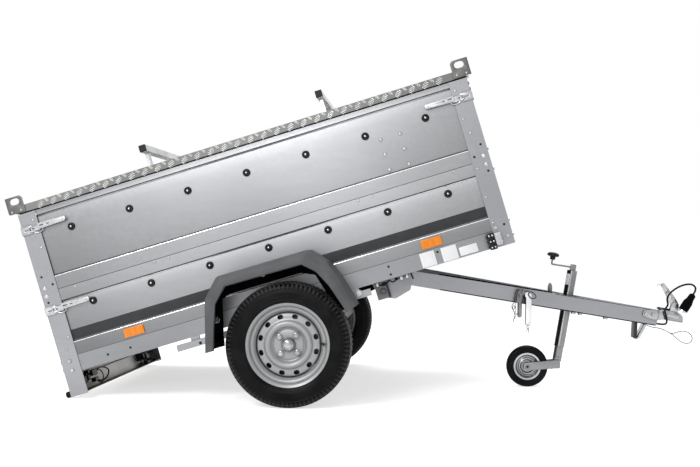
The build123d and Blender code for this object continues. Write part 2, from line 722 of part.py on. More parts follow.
def coupling_handle():
    """Raised lever between the ears."""
    ps, pt = HANDLE_PIVOT
    lever = plate([(ps - 12, pt + 8), (ps - 84, pt + 92), (ps - 98, pt + 84), (ps - 92, pt + 74),
                   (ps - 22, pt - 8), (ps + 4, pt - 9)], -10.5, 10.5)
    lever += rod_y(ps, pt, 9, -10.5, 10.5)
    return lever - rod_y(ps, pt, HANDLE_PIN_R + 0.05, -11, 11)


# ---------------------------------------------------------------- jockey wheel
JW_S = JOCKEY_S - TRAIL
# height in the bar frame that puts the jockey wheel on the floor
JW_T = (JOCKEY_WHEEL_R - PIVOT_Z + JW_S * S_BAR) / C_BAR
LEG_R = JOCKEY_R - JOCKEY_WALL - LEG_CLEAR


def jockey_tube():
    tube = rod_z(JOCKEY_S, 0, JOCKEY_R, JOCKEY_T0, JOCKEY_T1)
    return tube - rod_z(JOCKEY_S, 0, JOCKEY_R - JOCKEY_WALL, JOCKEY_T0 - 1, JOCKEY_T1 - 4)


CRANK_THROW = 104
CRANK_R = 5
KNOB_R = 29


def jockey_crank():
    """Head, cranked rod and knob on top of the tube."""
    head = slab(JOCKEY_S - 14, JOCKEY_S + 14, -14, 14, JOCKEY_T1, JOCKEY_T1 + 31)
    s = JOCKEY_S - CRANK_THROW
    rod = rod_x(0, JOCKEY_T1 + 16, CRANK_R, s, JOCKEY_S)
    rod += rod_z(s, 0, CRANK_R, JOCKEY_T1 + 11, JOCKEY_T1 + 40)
    neck = rod_z(s, 0, 13, JOCKEY_T1 + 36, JOCKEY_T1 + 52)
    knob = rod_z(s, 0, KNOB_R, JOCKEY_T1 + 50, JOCKEY_T1 + 72)
    return head + rod + neck + knob


CLAMP_T = (62, 112)


def jockey_clamp():
    """Ring round the tube on cross straps between the arms, with its clamping screw and wing."""
    ring = rod_z(JOCKEY_S, 0, JOCKEY_R + 8, *CLAMP_T) - rod_z(JOCKEY_S, 0, JOCKEY_R, 0, 200)
    s0, s1, y1 = JOCKEY_S + 4, JOCKEY_S + 10, -JOCKEY_R - 4
    plan = [(s0, y1), (s0, ARM_W - arm_out(s0)), (s1, ARM_W - arm_out(s1)), (s1, y1)]
    strap = extrude(Face(Wire.make_polygon([(s, y, CLAMP_T[0]) for s, y in plan], close=True)),
                    amount=CLAMP_T[1] - CLAMP_T[0], dir=(0, 0, 1))
    ring = ring + strap + mirrored(strap)
    screw = rod_x(0, 88, 7, JOCKEY_S - 88, JOCKEY_S - JOCKEY_R - 2)
    wing = slab(JOCKEY_S - 94, JOCKEY_S - 86, -10, 10, 60, 156)
    return ring + screw + wing


LEG_T0 = -229
SWIVEL_PIN_R = 12


def jockey_leg():
    """Inner tube that winds in and out."""
    leg = rod_z(JOCKEY_S, 0, LEG_R, LEG_T0 + 42, 40)
    leg -= rod_z(JOCKEY_S, 0, LEG_R - 2.5, LEG_T0 + 41, 41)
    leg += rod_z(JOCKEY_S, 0, SWIVEL_PIN_R, LEG_T0 + 22, LEG_T0 + 60)
    return leg + rod_z(JOCKEY_S, 0, LEG_R - 1, LEG_T0 + 42, LEG_T0 + 62)


def jockey_fork():
    """Swivel head and two cheeks that trail to the wheel axle."""
    fork = rod_z(JOCKEY_S, 0, LEG_R, LEG_T0, LEG_T0 + 40)
    half = JOCKEY_WHEEL_W / 2 + 4
    cheeks = []
    for y0 in (-half - 4, half):
        cheeks.append(plate([(JOCKEY_S + 18, LEG_T0 + 30), (JW_S - 14, JW_T + 16), (JW_S - 14, JW_T - 16),
                             (JOCKEY_S + 18, LEG_T0 - 8)], y0, y0 + 4))
    bridge = slab(JOCKEY_S - 18, JOCKEY_S + 18, -half - 4, half + 4, LEG_T0 - 6, LEG_T0 + 26)
    fork = fork + bridge + cheeks[0] + cheeks[1]
    fork += rod_y(JW_S, JW_T, 8, -half - 10, half + 10)
    return fork - rod_z(JOCKEY_S, 0, SWIVEL_PIN_R + 0.1, LEG_T0 + 21, LEG_T0 + 50)


def jockey_tyre():
    r, h = JOCKEY_WHEEL_R, JOCKEY_WHEEL_W / 2
    return turned_y([(JOCKEY_RIM_R, -h + 4), (r - 18, -h), (r - 5, -h + 7), (r, -h + 16), (r, h - 16),
                     (r - 5, h - 7), (r - 18, h), (JOCKEY_RIM_R, h - 4)])


def jockey_rim():
    h = JOCKEY_WHEEL_W / 2
    ring = turned_y([(8.1, -h), (20, -h), (22, -6), (50, -6), (54, -h + 3), (JOCKEY_RIM_R, -h + 3),
                     (JOCKEY_RIM_R, h - 3), (54, h - 3), (50, 6), (22, 6), (20, h), (8.1, h)])
    return ring


def on_jockey(shape):
    return in_bar(Pos(JW_S, 0, JW_T) * shape)


# ---------------------------------------------------------------- small pieces on the drawbar
LOCK_S = 618
NOSE_FOOT_T = -35                       # foot of the bracket under the nose
# rear and front edge of each strap at the arms, then at the foot
NOSE_STRAPS = [(1196, 1220, 1210, 1235), (1243, 1262, 1230, 1246)]


def tip_lock():
    """Lock on the right arm that holds the lowered box, with its hanging pin."""
    body = slab(-16, 16, -28, 0, 48, 114)
    return on_arm(body + rod_z(4, -14, 10, -26, 50), LOCK_S)


def lock_strap():
    """Flat strap that hangs in front of the lock."""
    strap = slab(34, 58, -24, -18, -52, 100) + slab(26, 58, -24, 0, 84, 100)
    return on_arm(strap, LOCK_S)


def nose_bracket():
    """V-shaped bracket under the tips of the arms."""
    straps = []
    for top0, top1, foot0, foot1 in NOSE_STRAPS:
        points = [(top0, ARM_T - arm_half(top0)), (top1, ARM_T - arm_half(top1)),
                  (foot1, NOSE_FOOT_T), (foot0, NOSE_FOOT_T)]
        straps.append(plate(points, -ARM_OUT1, ARM_OUT1))
    return straps[0] + straps[1]


# ---------------------------------------------------------------- lead, plug and breakaway wire
def tube_along(points, r):
    """Round tube along straight runs joined by tangent arcs."""
    radii = []
    for a, b, c in zip(points, points[1:], points[2:]):
        va, vb = Vector(b) - Vector(a), Vector(c) - Vector(b)
        half_turn = math.radians(va.get_angle(vb)) / 2
        radii.append(0.45 * min(va.length, vb.length) / math.tan(half_turn))
    path = FilletPolyline(*points, radius=radii)
    print("cord", len(points), "points, tightest radius", round(min(radii), 1), "length", round(path.length, 1))
    start = Plane(origin=path @ 0, z_dir=path % 0)
    return sweep(start * Circle(r), path=path)


def along(points, start, direction):
    """Outline in radius and distance, turned about a line from start."""
    face = Face(Wire.make_polygon([(r, 0, d) for r, d in points], close=True))
    return Plane(origin=start, z_dir=direction) * revolve(face, Axis.Z, 360)


LEAD_R = 4.5
# S, Y, T from the gland at the right arm's tip, outside the coupling, over the top and down to the plug
LEAD = [(1310, -20, 54), (1334, -20, 54), (1350, -44, 62), (1341, -53, 93), (1323, -53, 127),
        (1340, -53, 152), (1325, -53, 181), (1340, -52, 217), (1378, -52, 252), (1414, -52, 268),
        (1441, -52, 267), (1456, -52, 248), (1446, -52, 224)]
PLUG = [(0, 0), (6, 0), (15, 6), (17, 30), (21, 42), (23, 52), (23, 84), (20.5, 90), (20.5, 103), (0, 103)]
GLAND_R = 6


def cable_gland():
    s, y, t = LEAD[0]
    return rod_x(y, t, GLAND_R, ARM_S1, s)


def plug():
    return along(PLUG, LEAD[-1], Vector(LEAD[-1]) - Vector(LEAD[-2]))


WIRE_R = 2
WIRE_SIDE = 2.2                         # each end of the loop from the crimp's middle
CRIMP_L = 22
# S, Y, T from the bracket under the nose; the whole wire hangs to the right of the ball's way in
WIRE_TAIL = [(1260.9, -31, 38), (1288, -32, 32.5), (1325, -34, 36), (1344, -34, 30)]
CRIMP_DIR = (Vector(WIRE_TAIL[-1]) - Vector(WIRE_TAIL[-2])).normalized()
CRIMP_END = Vector(WIRE_TAIL[-1]) + CRIMP_DIR * CRIMP_L
LOOP_LEAD = CRIMP_END + CRIMP_DIR * 20
# S, Y, T round the loop between its two straight ends
LOOP = [(1404, -31.8, 29), (1430, -32.5, 41.5), (1458, -33.2, 40.5), (1482, -33.8, 22.5), (1482, -34.4, -4.5),
        (1458, -35, -17.5), (1429, -35.6, -10.5), (1410, -36.2, 0.5), (1396, -36.2, 9.5)]


def crimp():
    """Sleeve that holds both ends of the loop."""
    at = Plane(origin=WIRE_TAIL[-1], x_dir=(0, 1, 0), z_dir=CRIMP_DIR)
    return at * (Pos(0, 0, CRIMP_L / 2) * Box(11, 7, CRIMP_L))


def wire_loop():
    side = Vector(0, WIRE_SIDE, 0)
    ends = [tuple(p) for p in (CRIMP_END + side, LOOP_LEAD + side)]
    back = [tuple(p) for p in (LOOP_LEAD - side, CRIMP_END - side)]
    return tube_along(ends + LOOP + back, WIRE_R)


# ---------------------------------------------------------------- write the nodes
save("side_rails", *[in_box(s) for s in both(side_rail())])
save("cross_members", *[in_box(s) for s in cross_members()])
save("floor", in_box(floor()))
rear_low = post(TAIL_U, 1, POST_FOOT_REAR, BOARD_W1)
front_low = post(NOSE_U, -1, RAIL_W0 - 2, BOARD_W1)
save("rear_posts", *[in_box(s) for s in both(rear_low)])
save("front_posts", *[in_box(s) for s in both(front_low)])
raised = [post(TAIL_U, 1, BOARD_W1, BOARD_W2), post(NOSE_U, -1, BOARD_W1, BOARD_W2)]
save("raised_posts", *[in_box(s) for p in raised for s in both(p)])

low_side = side_board(RAIL_W1, BOARD_W1 - SEAM, LOW_PANEL, SIDE_U1)
high_side = side_board(BOARD_W1, BOARD_W2, HIGH_PANEL, SIDE_U1 - GATE_GAP + SHEET)
for name, piece in (("lower", low_side), ("raised", high_side)):
    save(f"{name}_side_board_right", in_box(piece))
    save(f"{name}_side_board_left", in_box(mirrored(piece)))
low_front = end_board(NOSE_U - SHEET, 90, RAIL_OUT, RAIL_W1, BOARD_W1 - SEAM, LOW_PANEL, False)
save("lower_front_board", in_box(low_front))
front_raised = end_board(NOSE_U, 90, GATE_Y, RAISED_GATE_W0, BOARD_W2, HIGH_PANEL, True)
for pin in raised_pins(NOSE_U - PIN_IN):
    front_raised += pin
save("raised_front_board", in_box(front_raised))
rear_raised = end_board(TAIL_U, -90, GATE_Y, RAISED_GATE_W0, BOARD_W2, HIGH_PANEL, True)
for pin in raised_pins(TAIL_U + PIN_IN):
    rear_raised += pin
save("raised_rear_board", in_box(rear_raised))
gate = end_board(TAIL_U, -90, GATE_Y, GATE_W0, GATE_W1, LOW_PANEL, True)
fixed_leaves, moving_leaves = gate_hinges()
for leaf in moving_leaves:
    gate += leaf
save("tailgate", in_box(gate))
lid_fixed, lid_moving = lid_hinge()
save("hinge_leaves", *[in_box(s) for s in fixed_leaves + both(lid_fixed)])
cover = lid()
for leaf in both(lid_moving):
    cover += leaf
save("cover", in_box(cover))
save("cover_seals", *[in_box(s) for s in both(lid_seal())])
lugs = [lug(TAIL_U - LUG_REAR_OUT, LUG_W0), lug(NOSE_U + LUG_FRONT_OUT - LUG_U, LUG_W0)]
save("cover_lugs", *[in_box(s) for p in lugs for s in both(p)])
save("cover_bars", *[in_box(lid_bar(u)) for u in BARS_U])
latches = [latch(TAIL_U, 1, HIGH_LATCH_W), latch(TAIL_U, 1, LOW_LATCH_W), latch(NOSE_U, -1, HIGH_LATCH_W)]
save("latches", *[in_box(s) for p in latches for s in both(p)])

save("light_board", in_box(light_board()))
save("rear_lamps", *[in_box(s) for s in both(rear_lamp())])
save("tail_buffers", *[in_box(s) for s in both(buffer())])
save("front_lamp_bases", *[in_box(s) for s in both(front_lamp_base())])
save("front_lamp_lenses", *[in_box(s) for s in both(front_lamp_lens())])
save("side_reflectors", *[in_box(s) for u in REFLECTOR_U for s in both(reflector(u))])
save("mudguard_right", in_box(mudguard()))
save("mudguard_left", in_box(mirrored(mudguard())))
save("mudguard_bars", *[in_box(s) for s in both(guard_bar())])
save("axle_beam", in_box(axle_beam()))
save("swing_arms", *[in_box(s) for s in both(swing_arm())])
save("tip_brackets", *[in_box(s) for s in both(tip_bracket())])

for name, make in (("rim", rim), ("tyre", tyre), ("hub", hub)):
    piece = on_axle(make())
    save(f"{name}_right", piece)
    save(f"{name}_left", mirrored(piece))

save("drawbar_arm_right", in_bar(arm()))
save("drawbar_arm_left", in_bar(mirrored(arm())))
save("drawbar_gussets", *[in_bar(s) for s in both(gusset())])
save("drawbar_rear_tube", in_bar(rear_tube()))
save("coupling_head", in_bar(coupling_head()))
save("coupling_handle", in_bar(coupling_handle()))
save("tip_lock", in_bar(tip_lock()))
save("lock_strap", in_bar(lock_strap()))
save("nose_bracket", in_bar(nose_bracket()))
save("cable_gland", in_bar(cable_gland()))
save("lead", in_bar(tube_along(LEAD, LEAD_R)))
save("plug", in_bar(plug()))
save("wire_tail", in_bar(tube_along(WIRE_TAIL, WIRE_R)))
save("wire_crimp", in_bar(crimp()))
save("wire_loop", in_bar(wire_loop()))
save("jockey_tube", in_bar(jockey_tube()))
save("jockey_clamp", in_bar(jockey_clamp()))
save("jockey_crank", in_bar(jockey_crank()))
save("jockey_leg", in_bar(jockey_leg()))
save("jockey_fork", in_bar(jockey_fork()))
save("jockey_tyre", on_jockey(jockey_tyre()))
save("jockey_rim", on_jockey(jockey_rim()))
print("pivot", round(PIVOT_X, 1), round(PIVOT_Z, 1), "jockey wheel", round(JW_S, 1), round(JW_T, 1))
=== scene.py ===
# %% [markdown]
# # A tipping box trailer, dressed
# The solids arrive as a fixed frame: every sheet, tube and wheel already has its real size and place.
# This script gives them their finish and adds what a drawing leaves out, such as fixings, tread and cords.
# Everything is in metres, X forwards to the coupling, Y to the trailer's left, Z up, floor at zero.

# %% Load the frame
import json
import math

import bmesh
import bpy
from mathutils import Matrix, Vector


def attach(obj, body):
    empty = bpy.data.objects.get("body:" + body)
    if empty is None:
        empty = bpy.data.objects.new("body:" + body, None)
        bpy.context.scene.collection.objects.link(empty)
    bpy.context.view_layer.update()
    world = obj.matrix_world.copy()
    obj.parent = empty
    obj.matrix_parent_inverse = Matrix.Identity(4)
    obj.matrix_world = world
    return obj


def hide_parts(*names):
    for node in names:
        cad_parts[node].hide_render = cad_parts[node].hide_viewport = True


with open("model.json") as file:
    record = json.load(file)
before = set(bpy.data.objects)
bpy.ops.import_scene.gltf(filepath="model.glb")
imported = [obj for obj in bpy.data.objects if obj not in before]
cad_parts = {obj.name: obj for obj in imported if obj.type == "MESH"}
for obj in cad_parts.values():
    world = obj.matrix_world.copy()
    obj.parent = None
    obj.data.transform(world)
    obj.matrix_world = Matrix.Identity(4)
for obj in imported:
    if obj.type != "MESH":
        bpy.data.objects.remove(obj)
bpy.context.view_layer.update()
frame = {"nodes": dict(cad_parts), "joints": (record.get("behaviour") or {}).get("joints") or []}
nodes = frame["nodes"]
joints = {j["name"]: j for j in frame["joints"]}

# %% [markdown]
# ## Two tilted frames
# The box stands nose up and the drawbar slopes nose down, so almost nothing is square to the world.
# It is far easier to place a bolt at "u along the box, w above the axle" than to turn every number by
# hand. Two matrices do the turning, and their origins come from the joints that the solids pivot on.

# %% Box frame and drawbar frame
MM = 0.001
TIP = math.radians(16.95)               # nose-up angle of the box
BAR_SLOPE = math.radians(9.4)           # nose-down angle of the drawbar
axle = Vector(joints["wheel_right_spin"]["pos_m"])
pivot = Vector(joints["drawbar_hinge"]["pos_m"])

MILLI = Matrix.Diagonal((MM, MM, MM, 1))


def moved(x, y, z):
    """Shift by a distance along each axis."""
    return Matrix.Translation((x, y, z))


def spun(angle, axis="Z"):
    """Turn about an axis, in radians."""
    return Matrix.Rotation(angle, 4, axis)


BOX = moved(axle.x, 0, axle.z) @ spun(-TIP, "Y") @ MILLI
BAR = moved(pivot.x, 0, pivot.z) @ spun(BAR_SLOPE, "Y") @ MILLI
WHEEL = moved(axle.x, 0, axle.z) @ MILLI
print("axle at", [round(c, 3) for c in axle], "pivot at", [round(c, 3) for c in pivot])

# %% [markdown]
# ## Camera
# A long view from the trailer's right side, a little below the top of the box and slightly behind it.
# The lens is close to 50 mm on a 36 mm sensor. The small shift keeps the upright lines upright while
# the object stays where it should in the picture.

# %% Camera
CAMERA_AT = (0.3318, -4.76705, 0.70987)
YAW, PITCH, ROLL = (math.radians(a) for a in (-3.6706, -0.6428, 0.3465))
FOCAL_PX, WIDE_PX, HIGH_PX = 970.13, 700, 467
CENTRE_PX = (368.26, 250.72)            # where the lens axis meets the picture
SENSOR = 36.0

forward = Vector((math.sin(YAW) * math.cos(PITCH), math.cos(YAW) * math.cos(PITCH), math.sin(PITCH)))
right = Vector((math.cos(YAW), -math.sin(YAW), 0))
up = right.cross(forward)
rolled_right = right * math.cos(ROLL) + up * math.sin(ROLL)
rolled_up = up * math.cos(ROLL) - right * math.sin(ROLL)


def in_scene(name, data):
    """A new object, linked to the scene."""
    item = bpy.data.objects.new(name, data)
    bpy.context.scene.collection.objects.link(item)
    return item


camera = in_scene("camera", bpy.data.cameras.new("camera"))
turn = Matrix((rolled_right, rolled_up, -forward)).transposed().to_4x4()
camera.matrix_world = Matrix.Translation(CAMERA_AT) @ turn
camera.data.sensor_width = SENSOR
camera.data.lens = SENSOR * FOCAL_PX / WIDE_PX
camera.data.shift_x = (WIDE_PX / 2 - CENTRE_PX[0]) / WIDE_PX
camera.data.shift_y = (CENTRE_PX[1] - HIGH_PX / 2) / WIDE_PX
camera.data.clip_end = 60
bpy.context.scene.camera = camera
print("lens", round(camera.data.lens, 2), "mm")

# %% [markdown]
# ## Studio
# The lens, mirrors and glass see plain white all round. Matt surfaces get a lower level from the same
# world, so that the lamps can model them. The floor does the same: it is a matt sheet that takes the
# object's shadow, with a white glow added only for the rays that show it.

# %% World and what sees it as white
WHITE = (1.0, 1.0, 1.0, 1.0)
MATT_LEVEL = 0.45                       # how much the surroundings light matt surfaces
FLOOR_ALBEDO = 0.85


def feed(tree, socket, value):
    """Gives a socket a value, or a link where the value is another socket."""
    if isinstance(value, bpy.types.NodeSocket):
        tree.links.new(value, socket)
    else:
        socket.default_value = value


def adjust(tree, node, **settings):
    """Sets a node's properties, in small letters, and its named inputs, with a capital."""
    for name, value in settings.items():
        if name[0].islower():
            setattr(node, name, value)
        else:
            feed(tree, node.inputs[name.replace("_", " ")], value)
    return node


def node_at(tree, kind, **settings):
    """Adds a node to a tree."""
    return adjust(tree, tree.nodes.new(kind), **settings)


def math_node(tree, operation, *values, kind="ShaderNodeMath"):
    """One arithmetic step on patterns or numbers."""
    node = node_at(tree, kind, operation=operation)
    for socket, value in zip(node.inputs, values):
        feed(tree, socket, value)
    return node.outputs[0] if kind == "ShaderNodeMath" else node.outputs["Value"]


def shown_rays(tree):
    """1 for rays from the lens, a mirror or glass, and 0 for the rest."""
    path = node_at(tree, "ShaderNodeLightPath").outputs
    shown = path["Is Camera Ray"]
    for name in ("Is Glossy Ray", "Is Transmission Ray"):
        shown = math_node(tree, "MAXIMUM", shown, path[name])
    return shown


world = bpy.data.worlds.new("studio")
bpy.context.scene.world = world
world.use_nodes = True
sky = world.node_tree
sky.nodes.clear()
level = node_at(sky, "ShaderNodeMapRange", Value=shown_rays(sky), To_Min=MATT_LEVEL, To_Max=1.0)
backdrop = node_at(sky, "ShaderNodeBackground", Color=WHITE, Strength=level.outputs[0])
node_at(sky, "ShaderNodeOutputWorld", Surface=backdrop.outputs[0])


# %% Lamps
def area_lamp(name, at, aim, size, power):
    """A soft rectangular lamp at a point, turned towards another."""
    lamp = in_scene(name, bpy.data.lights.new(name, "AREA"))
    lamp.data.shape = "RECTANGLE"
    lamp.data.size, lamp.data.size_y = size
    lamp.data.energy = power
    lamp.location = at
    lamp.rotation_euler = (Vector(aim) - Vector(at)).to_track_quat("-Z", "Y").to_euler()


area_lamp("key", (-2.6, -4.6, 4.0), (-0.2, 0, 0.6), (2.2, 1.6), 165)
area_lamp("sheen", (-1.5, -6.2, 2.3), (-0.3, 0, 0.9), (1.5, 0.9), 55)
area_lamp("top", (0.4, 0.6, 4.6), (0, 0, 0.6), (3.4, 2.2), 110)
bpy.context.scene.view_settings.view_transform = "Standard"

# %% Floor
FLOOR_HALF = 14
mesh = bpy.data.meshes.new("studio_floor")
mesh.from_pydata([(x, y, 0) for x, y in ((-FLOOR_HALF, -FLOOR_HALF), (FLOOR_HALF, -FLOOR_HALF),
                                         (FLOOR_HALF, FLOOR_HALF), (-FLOOR_HALF, FLOOR_HALF))], [], [(0, 1, 2, 3)])
floor_sheet = in_scene("studio_floor", mesh)
floor_paint = bpy.data.materials.new("studio_floor")
floor_paint.use_nodes = True
tree = floor_paint.node_tree
glow = node_at(tree, "ShaderNodeMapRange", Value=shown_rays(tree), To_Min=0.0, To_Max=1.01 - FLOOR_ALBEDO * MATT_LEVEL)
adjust(tree, tree.nodes["Principled BSDF"], Base_Color=(FLOOR_ALBEDO, FLOOR_ALBEDO, FLOOR_ALBEDO, 1), Roughness=0.9,
       Specular_IOR_Level=0.0, Emission_Color=WHITE, Emission_Strength=glow.outputs[0])
mesh.materials.append(floor_paint)

# %% [markdown]
# ## Finishes
# Each finish is one small node tree that reads Object coordinates, so a pattern keeps its real size on
# every piece. Galvanised sheet is the main one: zinc freezes into crystals a few millimetres to a
# centimetre across, each of a slightly different grey and gloss, with slow clouds over them.

# %% Helpers for finishes
def new_finish(name, metallic, roughness, colour):
    """A material with its Principled shader and its Object coordinates."""
    paint = bpy.data.materials.new(name)
    paint.use_nodes = True
    tree = paint.node_tree
    shader = adjust(tree, tree.nodes["Principled BSDF"], Metallic=metallic, Roughness=roughness,
                    Base_Color=(*colour, 1))
    return paint, tree, shader, node_at(tree, "ShaderNodeTexCoord").outputs["Object"]


def noise(tree, place, scale, detail=3.0, stretch=None):
    """Soft clouds of a given scale per metre; stretch squeezes them along an axis."""
    if stretch:
        place = node_at(tree, "ShaderNodeMapping", Vector=place, Scale=stretch).outputs[0]
    return node_at(tree, "ShaderNodeTexNoise", Vector=place, Scale=scale, Detail=detail).outputs["Fac"]


def spread(tree, value, low, high, dark, light):
    """Maps low..high of a pattern to dark..light."""
    return node_at(tree, "ShaderNodeMapRange", Value=value, From_Min=low, From_Max=high, To_Min=dark,
                   To_Max=light).outputs[0]


def tint(tree, value, dark, light):
    """Mixes two colours by a pattern."""
    return node_at(tree, "ShaderNodeMix", data_type="RGBA", Factor=value, A=(*dark, 1), B=(*light, 1)).outputs["Result"]


def times(tree, a, b):
    """Product of two colours."""
    return node_at(tree, "ShaderNodeMix", data_type="RGBA", blend_type="MULTIPLY", Factor=1.0, A=a,
                   B=b).outputs["Result"]


def relief(tree, shader, height, distance, strength=1.0):
    """Bump from a pattern, in metres."""
    bump = node_at(tree, "ShaderNodeBump", Height=height, Distance=distance, Strength=strength)
    adjust(tree, shader, Normal=bump.outputs[0])


def shaded_corner(tree, shader, colour, reach, least):
    """Colours a shader, darker where surfaces meet: painted shade from ambient occlusion; reach is in metres."""
    corner = node_at(tree, "ShaderNodeAmbientOcclusion", samples=6, Distance=reach)
    adjust(tree, shader,
           Base_Color=times(tree, colour, spread(tree, corner.outputs["AO"], 0.25, 0.95, least, 1.0)))


def along(tree, place, way, stops):
    """Brightness by distance along a direction: stops are (metres, share of full brightness)."""
    start, end = stops[0][0], stops[-1][0]
    reach = math_node(tree, "DOT_PRODUCT", place, way, kind="ShaderNodeVectorMath")
    share = node_at(tree, "ShaderNodeMapRange", Value=reach, From_Min=start, From_Max=end)
    ramp = node_at(tree, "ShaderNodeValToRGB", Fac=share.outputs[0])
    steps = ramp.color_ramp.elements
    while len(steps) < len(stops):
        steps.new(0.5)
    for step, (at, level) in zip(steps, stops):
        step.position = (at - start) / (end - start)
        step.color = (level, level, level, 1)
    return ramp.outputs["Color"]


# %% Galvanised steel
# Painted sheen and shade: each pressed panel is painted brightest under its upper bead and fading downwards,
# with painted light and dark lines at the beads. The stops are (height above the axle in the box frame, share of full
# brightness) and then (station, share).
PANEL_SHEEN = [(0.141, 0.44), (0.180, 0.45), (0.212, 0.47), (0.214, 0.43), (0.240, 0.44), (0.270, 0.49), (0.272, 0.52),
              (0.330, 0.56), (0.360, 0.60), (0.400, 0.65), (0.430, 0.74), (0.452, 0.90), (0.460, 0.62), (0.512, 0.68),
              (0.515, 0.60), (0.572, 0.63), (0.576, 0.50), (0.620, 0.53), (0.680, 0.57), (0.740, 0.61), (0.800, 0.68),
              (0.845, 0.84), (0.860, 0.76), (0.866, 0.66), (0.876, 0.60)]
LENGTH_SHEEN = [(-1.0, 0.70), (-0.85, 0.75), (-0.6, 0.88), (0.0, 0.88), (0.3, 0.96), (0.5, 1.0), (0.75, 0.92),
               (1.0, 0.86)]


def galvanised(name, dark, light, crystal, contrast, roughness, cloud_scale=2.2, corner=0.014, painted_sheen=False):
    """Zinc-coated sheet; crystal is the spangle's size in metres and contrast how plainly it shows."""
    paint, tree, shader, place = new_finish(name, 0.85, roughness, light)
    cells = node_at(tree, "ShaderNodeTexVoronoi", Vector=place, Scale=1 / crystal, Randomness=1.0)
    grey = node_at(tree, "ShaderNodeSeparateColor", Color=cells.outputs["Color"]).outputs
    clouds = noise(tree, place, cloud_scale, 2.0)
    streaks = noise(tree, place, 7.0, 3.0, stretch=(1.0, 1.0, 5.0))
    soft = math_node(tree, "ADD", math_node(tree, "MULTIPLY", clouds, 0.8), math_node(tree, "MULTIPLY", streaks, 0.2))
    spangle = spread(tree, grey[0], 0.0, 1.0, -contrast, contrast)
    tone = math_node(tree, "ADD", spread(tree, soft, 0.36, 0.64, 0.0, 1.0), spangle)
    colour = tint(tree, tone, dark, light)
    # painted sheen over the pressed panels, by height and by station
    if painted_sheen:
        upwards, forwards = (-math.sin(TIP), 0, math.cos(TIP)), (math.cos(TIP), 0, math.sin(TIP))
        for way, stops in ((upwards, PANEL_SHEEN), (forwards, LENGTH_SHEEN)):
            zero = axle.x * way[0] + axle.z * way[2]
            colour = times(tree, colour, along(tree, place, way, [(zero + at, level) for at, level in stops]))
    # painted shade where surfaces meet
    shaded_corner(tree, shader, colour, corner, 0.65 if painted_sheen else 0.25)
    gloss = math_node(tree, "ADD", spread(tree, grey[1], 0.0, 1.0, -0.03, 0.03),
                      spread(tree, soft, 0.3, 0.7, roughness + 0.04, roughness - 0.04))
    adjust(tree, shader, Roughness=gloss)
    relief(tree, shader, grey[0], 0.00003, 0.2)
    return paint


SHEET_ZINC = galvanised("sheet_zinc", (0.50, 0.508, 0.526), (0.60, 0.608, 0.626), 0.009, 0.06, 0.34, 1.1, 0.008, True)
FRAME_ZINC = galvanised("frame_zinc", (0.27, 0.274, 0.288), (0.33, 0.334, 0.348), 0.006, 0.05, 0.38, 1.6, 0.006)
RAIL_ZINC = galvanised("rail_zinc", (0.22, 0.223, 0.234), (0.27, 0.273, 0.285), 0.008, 0.05, 0.38, 1.6)
RIVET_ZINC = galvanised("rivet_zinc", (0.34, 0.345, 0.355), (0.44, 0.445, 0.455), 0.003, 0.05, 0.3, 9.0, 0.005)
# very bright zinc for the rods on the beads: painted highlight
BEAD_HIGHLIGHT_ZINC = galvanised("rolled_edge", (0.80, 0.805, 0.815), (0.90, 0.905, 0.91), 0.01, 0.02, 0.25, 9.0, 0.002)
BAR_ZINC = galvanised("drawbar_zinc", (0.26, 0.265, 0.28), (0.31, 0.315, 0.33), 0.010, 0.05, 0.34, 1.5)
TUBE_ZINC = galvanised("tube_zinc", (0.17, 0.172, 0.178), (0.24, 0.242, 0.248), 0.010, 0.04, 0.28, 9.0, 0.008)
CUP_ZINC = galvanised("cup_zinc", (0.34, 0.345, 0.355), (0.50, 0.505, 0.515), 0.004, 0.06, 0.22, 12.0, 0.014)
LOCK_GREY = galvanised("lock_grey", (0.12, 0.12, 0.122), (0.22, 0.22, 0.222), 0.004, 0.08, 0.34, 9.0, 0.010)
# near-black zinc for painted shade: bead and seam strips, the disc behind the vents, pivot lines, the strap's outline,
# the rear nose strap
PAINTED_SHADE_ZINC = galvanised("lock_dark", (0.025, 0.025, 0.026), (0.05, 0.05, 0.051), 0.004, 0.05, 0.45, 9.0, 0.006)
CLIP_STEEL = galvanised("clip_steel", (0.05, 0.05, 0.05), (0.12, 0.12, 0.12), 0.004, 0.05, 0.3, 60.0, 0.004)
DULL_ZINC = galvanised("dull_zinc", (0.16, 0.16, 0.165), (0.22, 0.22, 0.225), 0.005, 0.10, 0.5)
# painted light: the light board's zinc is lightened to make up for the shade under the box
LIGHTENED_BOARD_ZINC = galvanised("board_zinc", (0.38, 0.37, 0.36), (0.50, 0.485, 0.47), 0.007, 0.06, 0.4, 3.0, 0.006)
BRIGHT_ZINC = galvanised("bright_zinc", (0.42, 0.425, 0.44), (0.62, 0.625, 0.63), 0.003, 0.06, 0.24, 9.0, 0.006)
LATCH_ZINC = galvanised("latch_zinc", (0.34, 0.35, 0.36), (0.50, 0.51, 0.52), 0.004, 0.05, 0.36, 9.0, 0.012)
LUG_GREY = galvanised("lug_grey", (0.10, 0.10, 0.098), (0.14, 0.14, 0.136), 0.005, 0.06, 0.5)
# painted highlight: the tread bars are a brighter, lit copy of the plate's metal
LIT_BAR_ZINC = galvanised("tread_bars", (0.62, 0.62, 0.61), (0.78, 0.78, 0.77), 0.02, 0.02, 0.3, 9.0, 0.003)
HUB_ZINC = galvanised("hub_zinc", (0.26, 0.265, 0.27), (0.40, 0.41, 0.42), 0.02, 0.02, 0.24, 12.0, 0.010)
FORK_ZINC = galvanised("fork_zinc", (0.21, 0.215, 0.22), (0.27, 0.275, 0.28), 0.008, 0.05, 0.36)
STRAP_WHITE = galvanised("strap_zinc", (0.66, 0.66, 0.66), (0.80, 0.80, 0.80), 0.01, 0.02, 0.35, 9.0, 0.009)
WIRE_STEEL = galvanised("wire_steel", (0.09, 0.09, 0.088), (0.17, 0.17, 0.165), 0.004, 0.1, 0.4, 40.0)


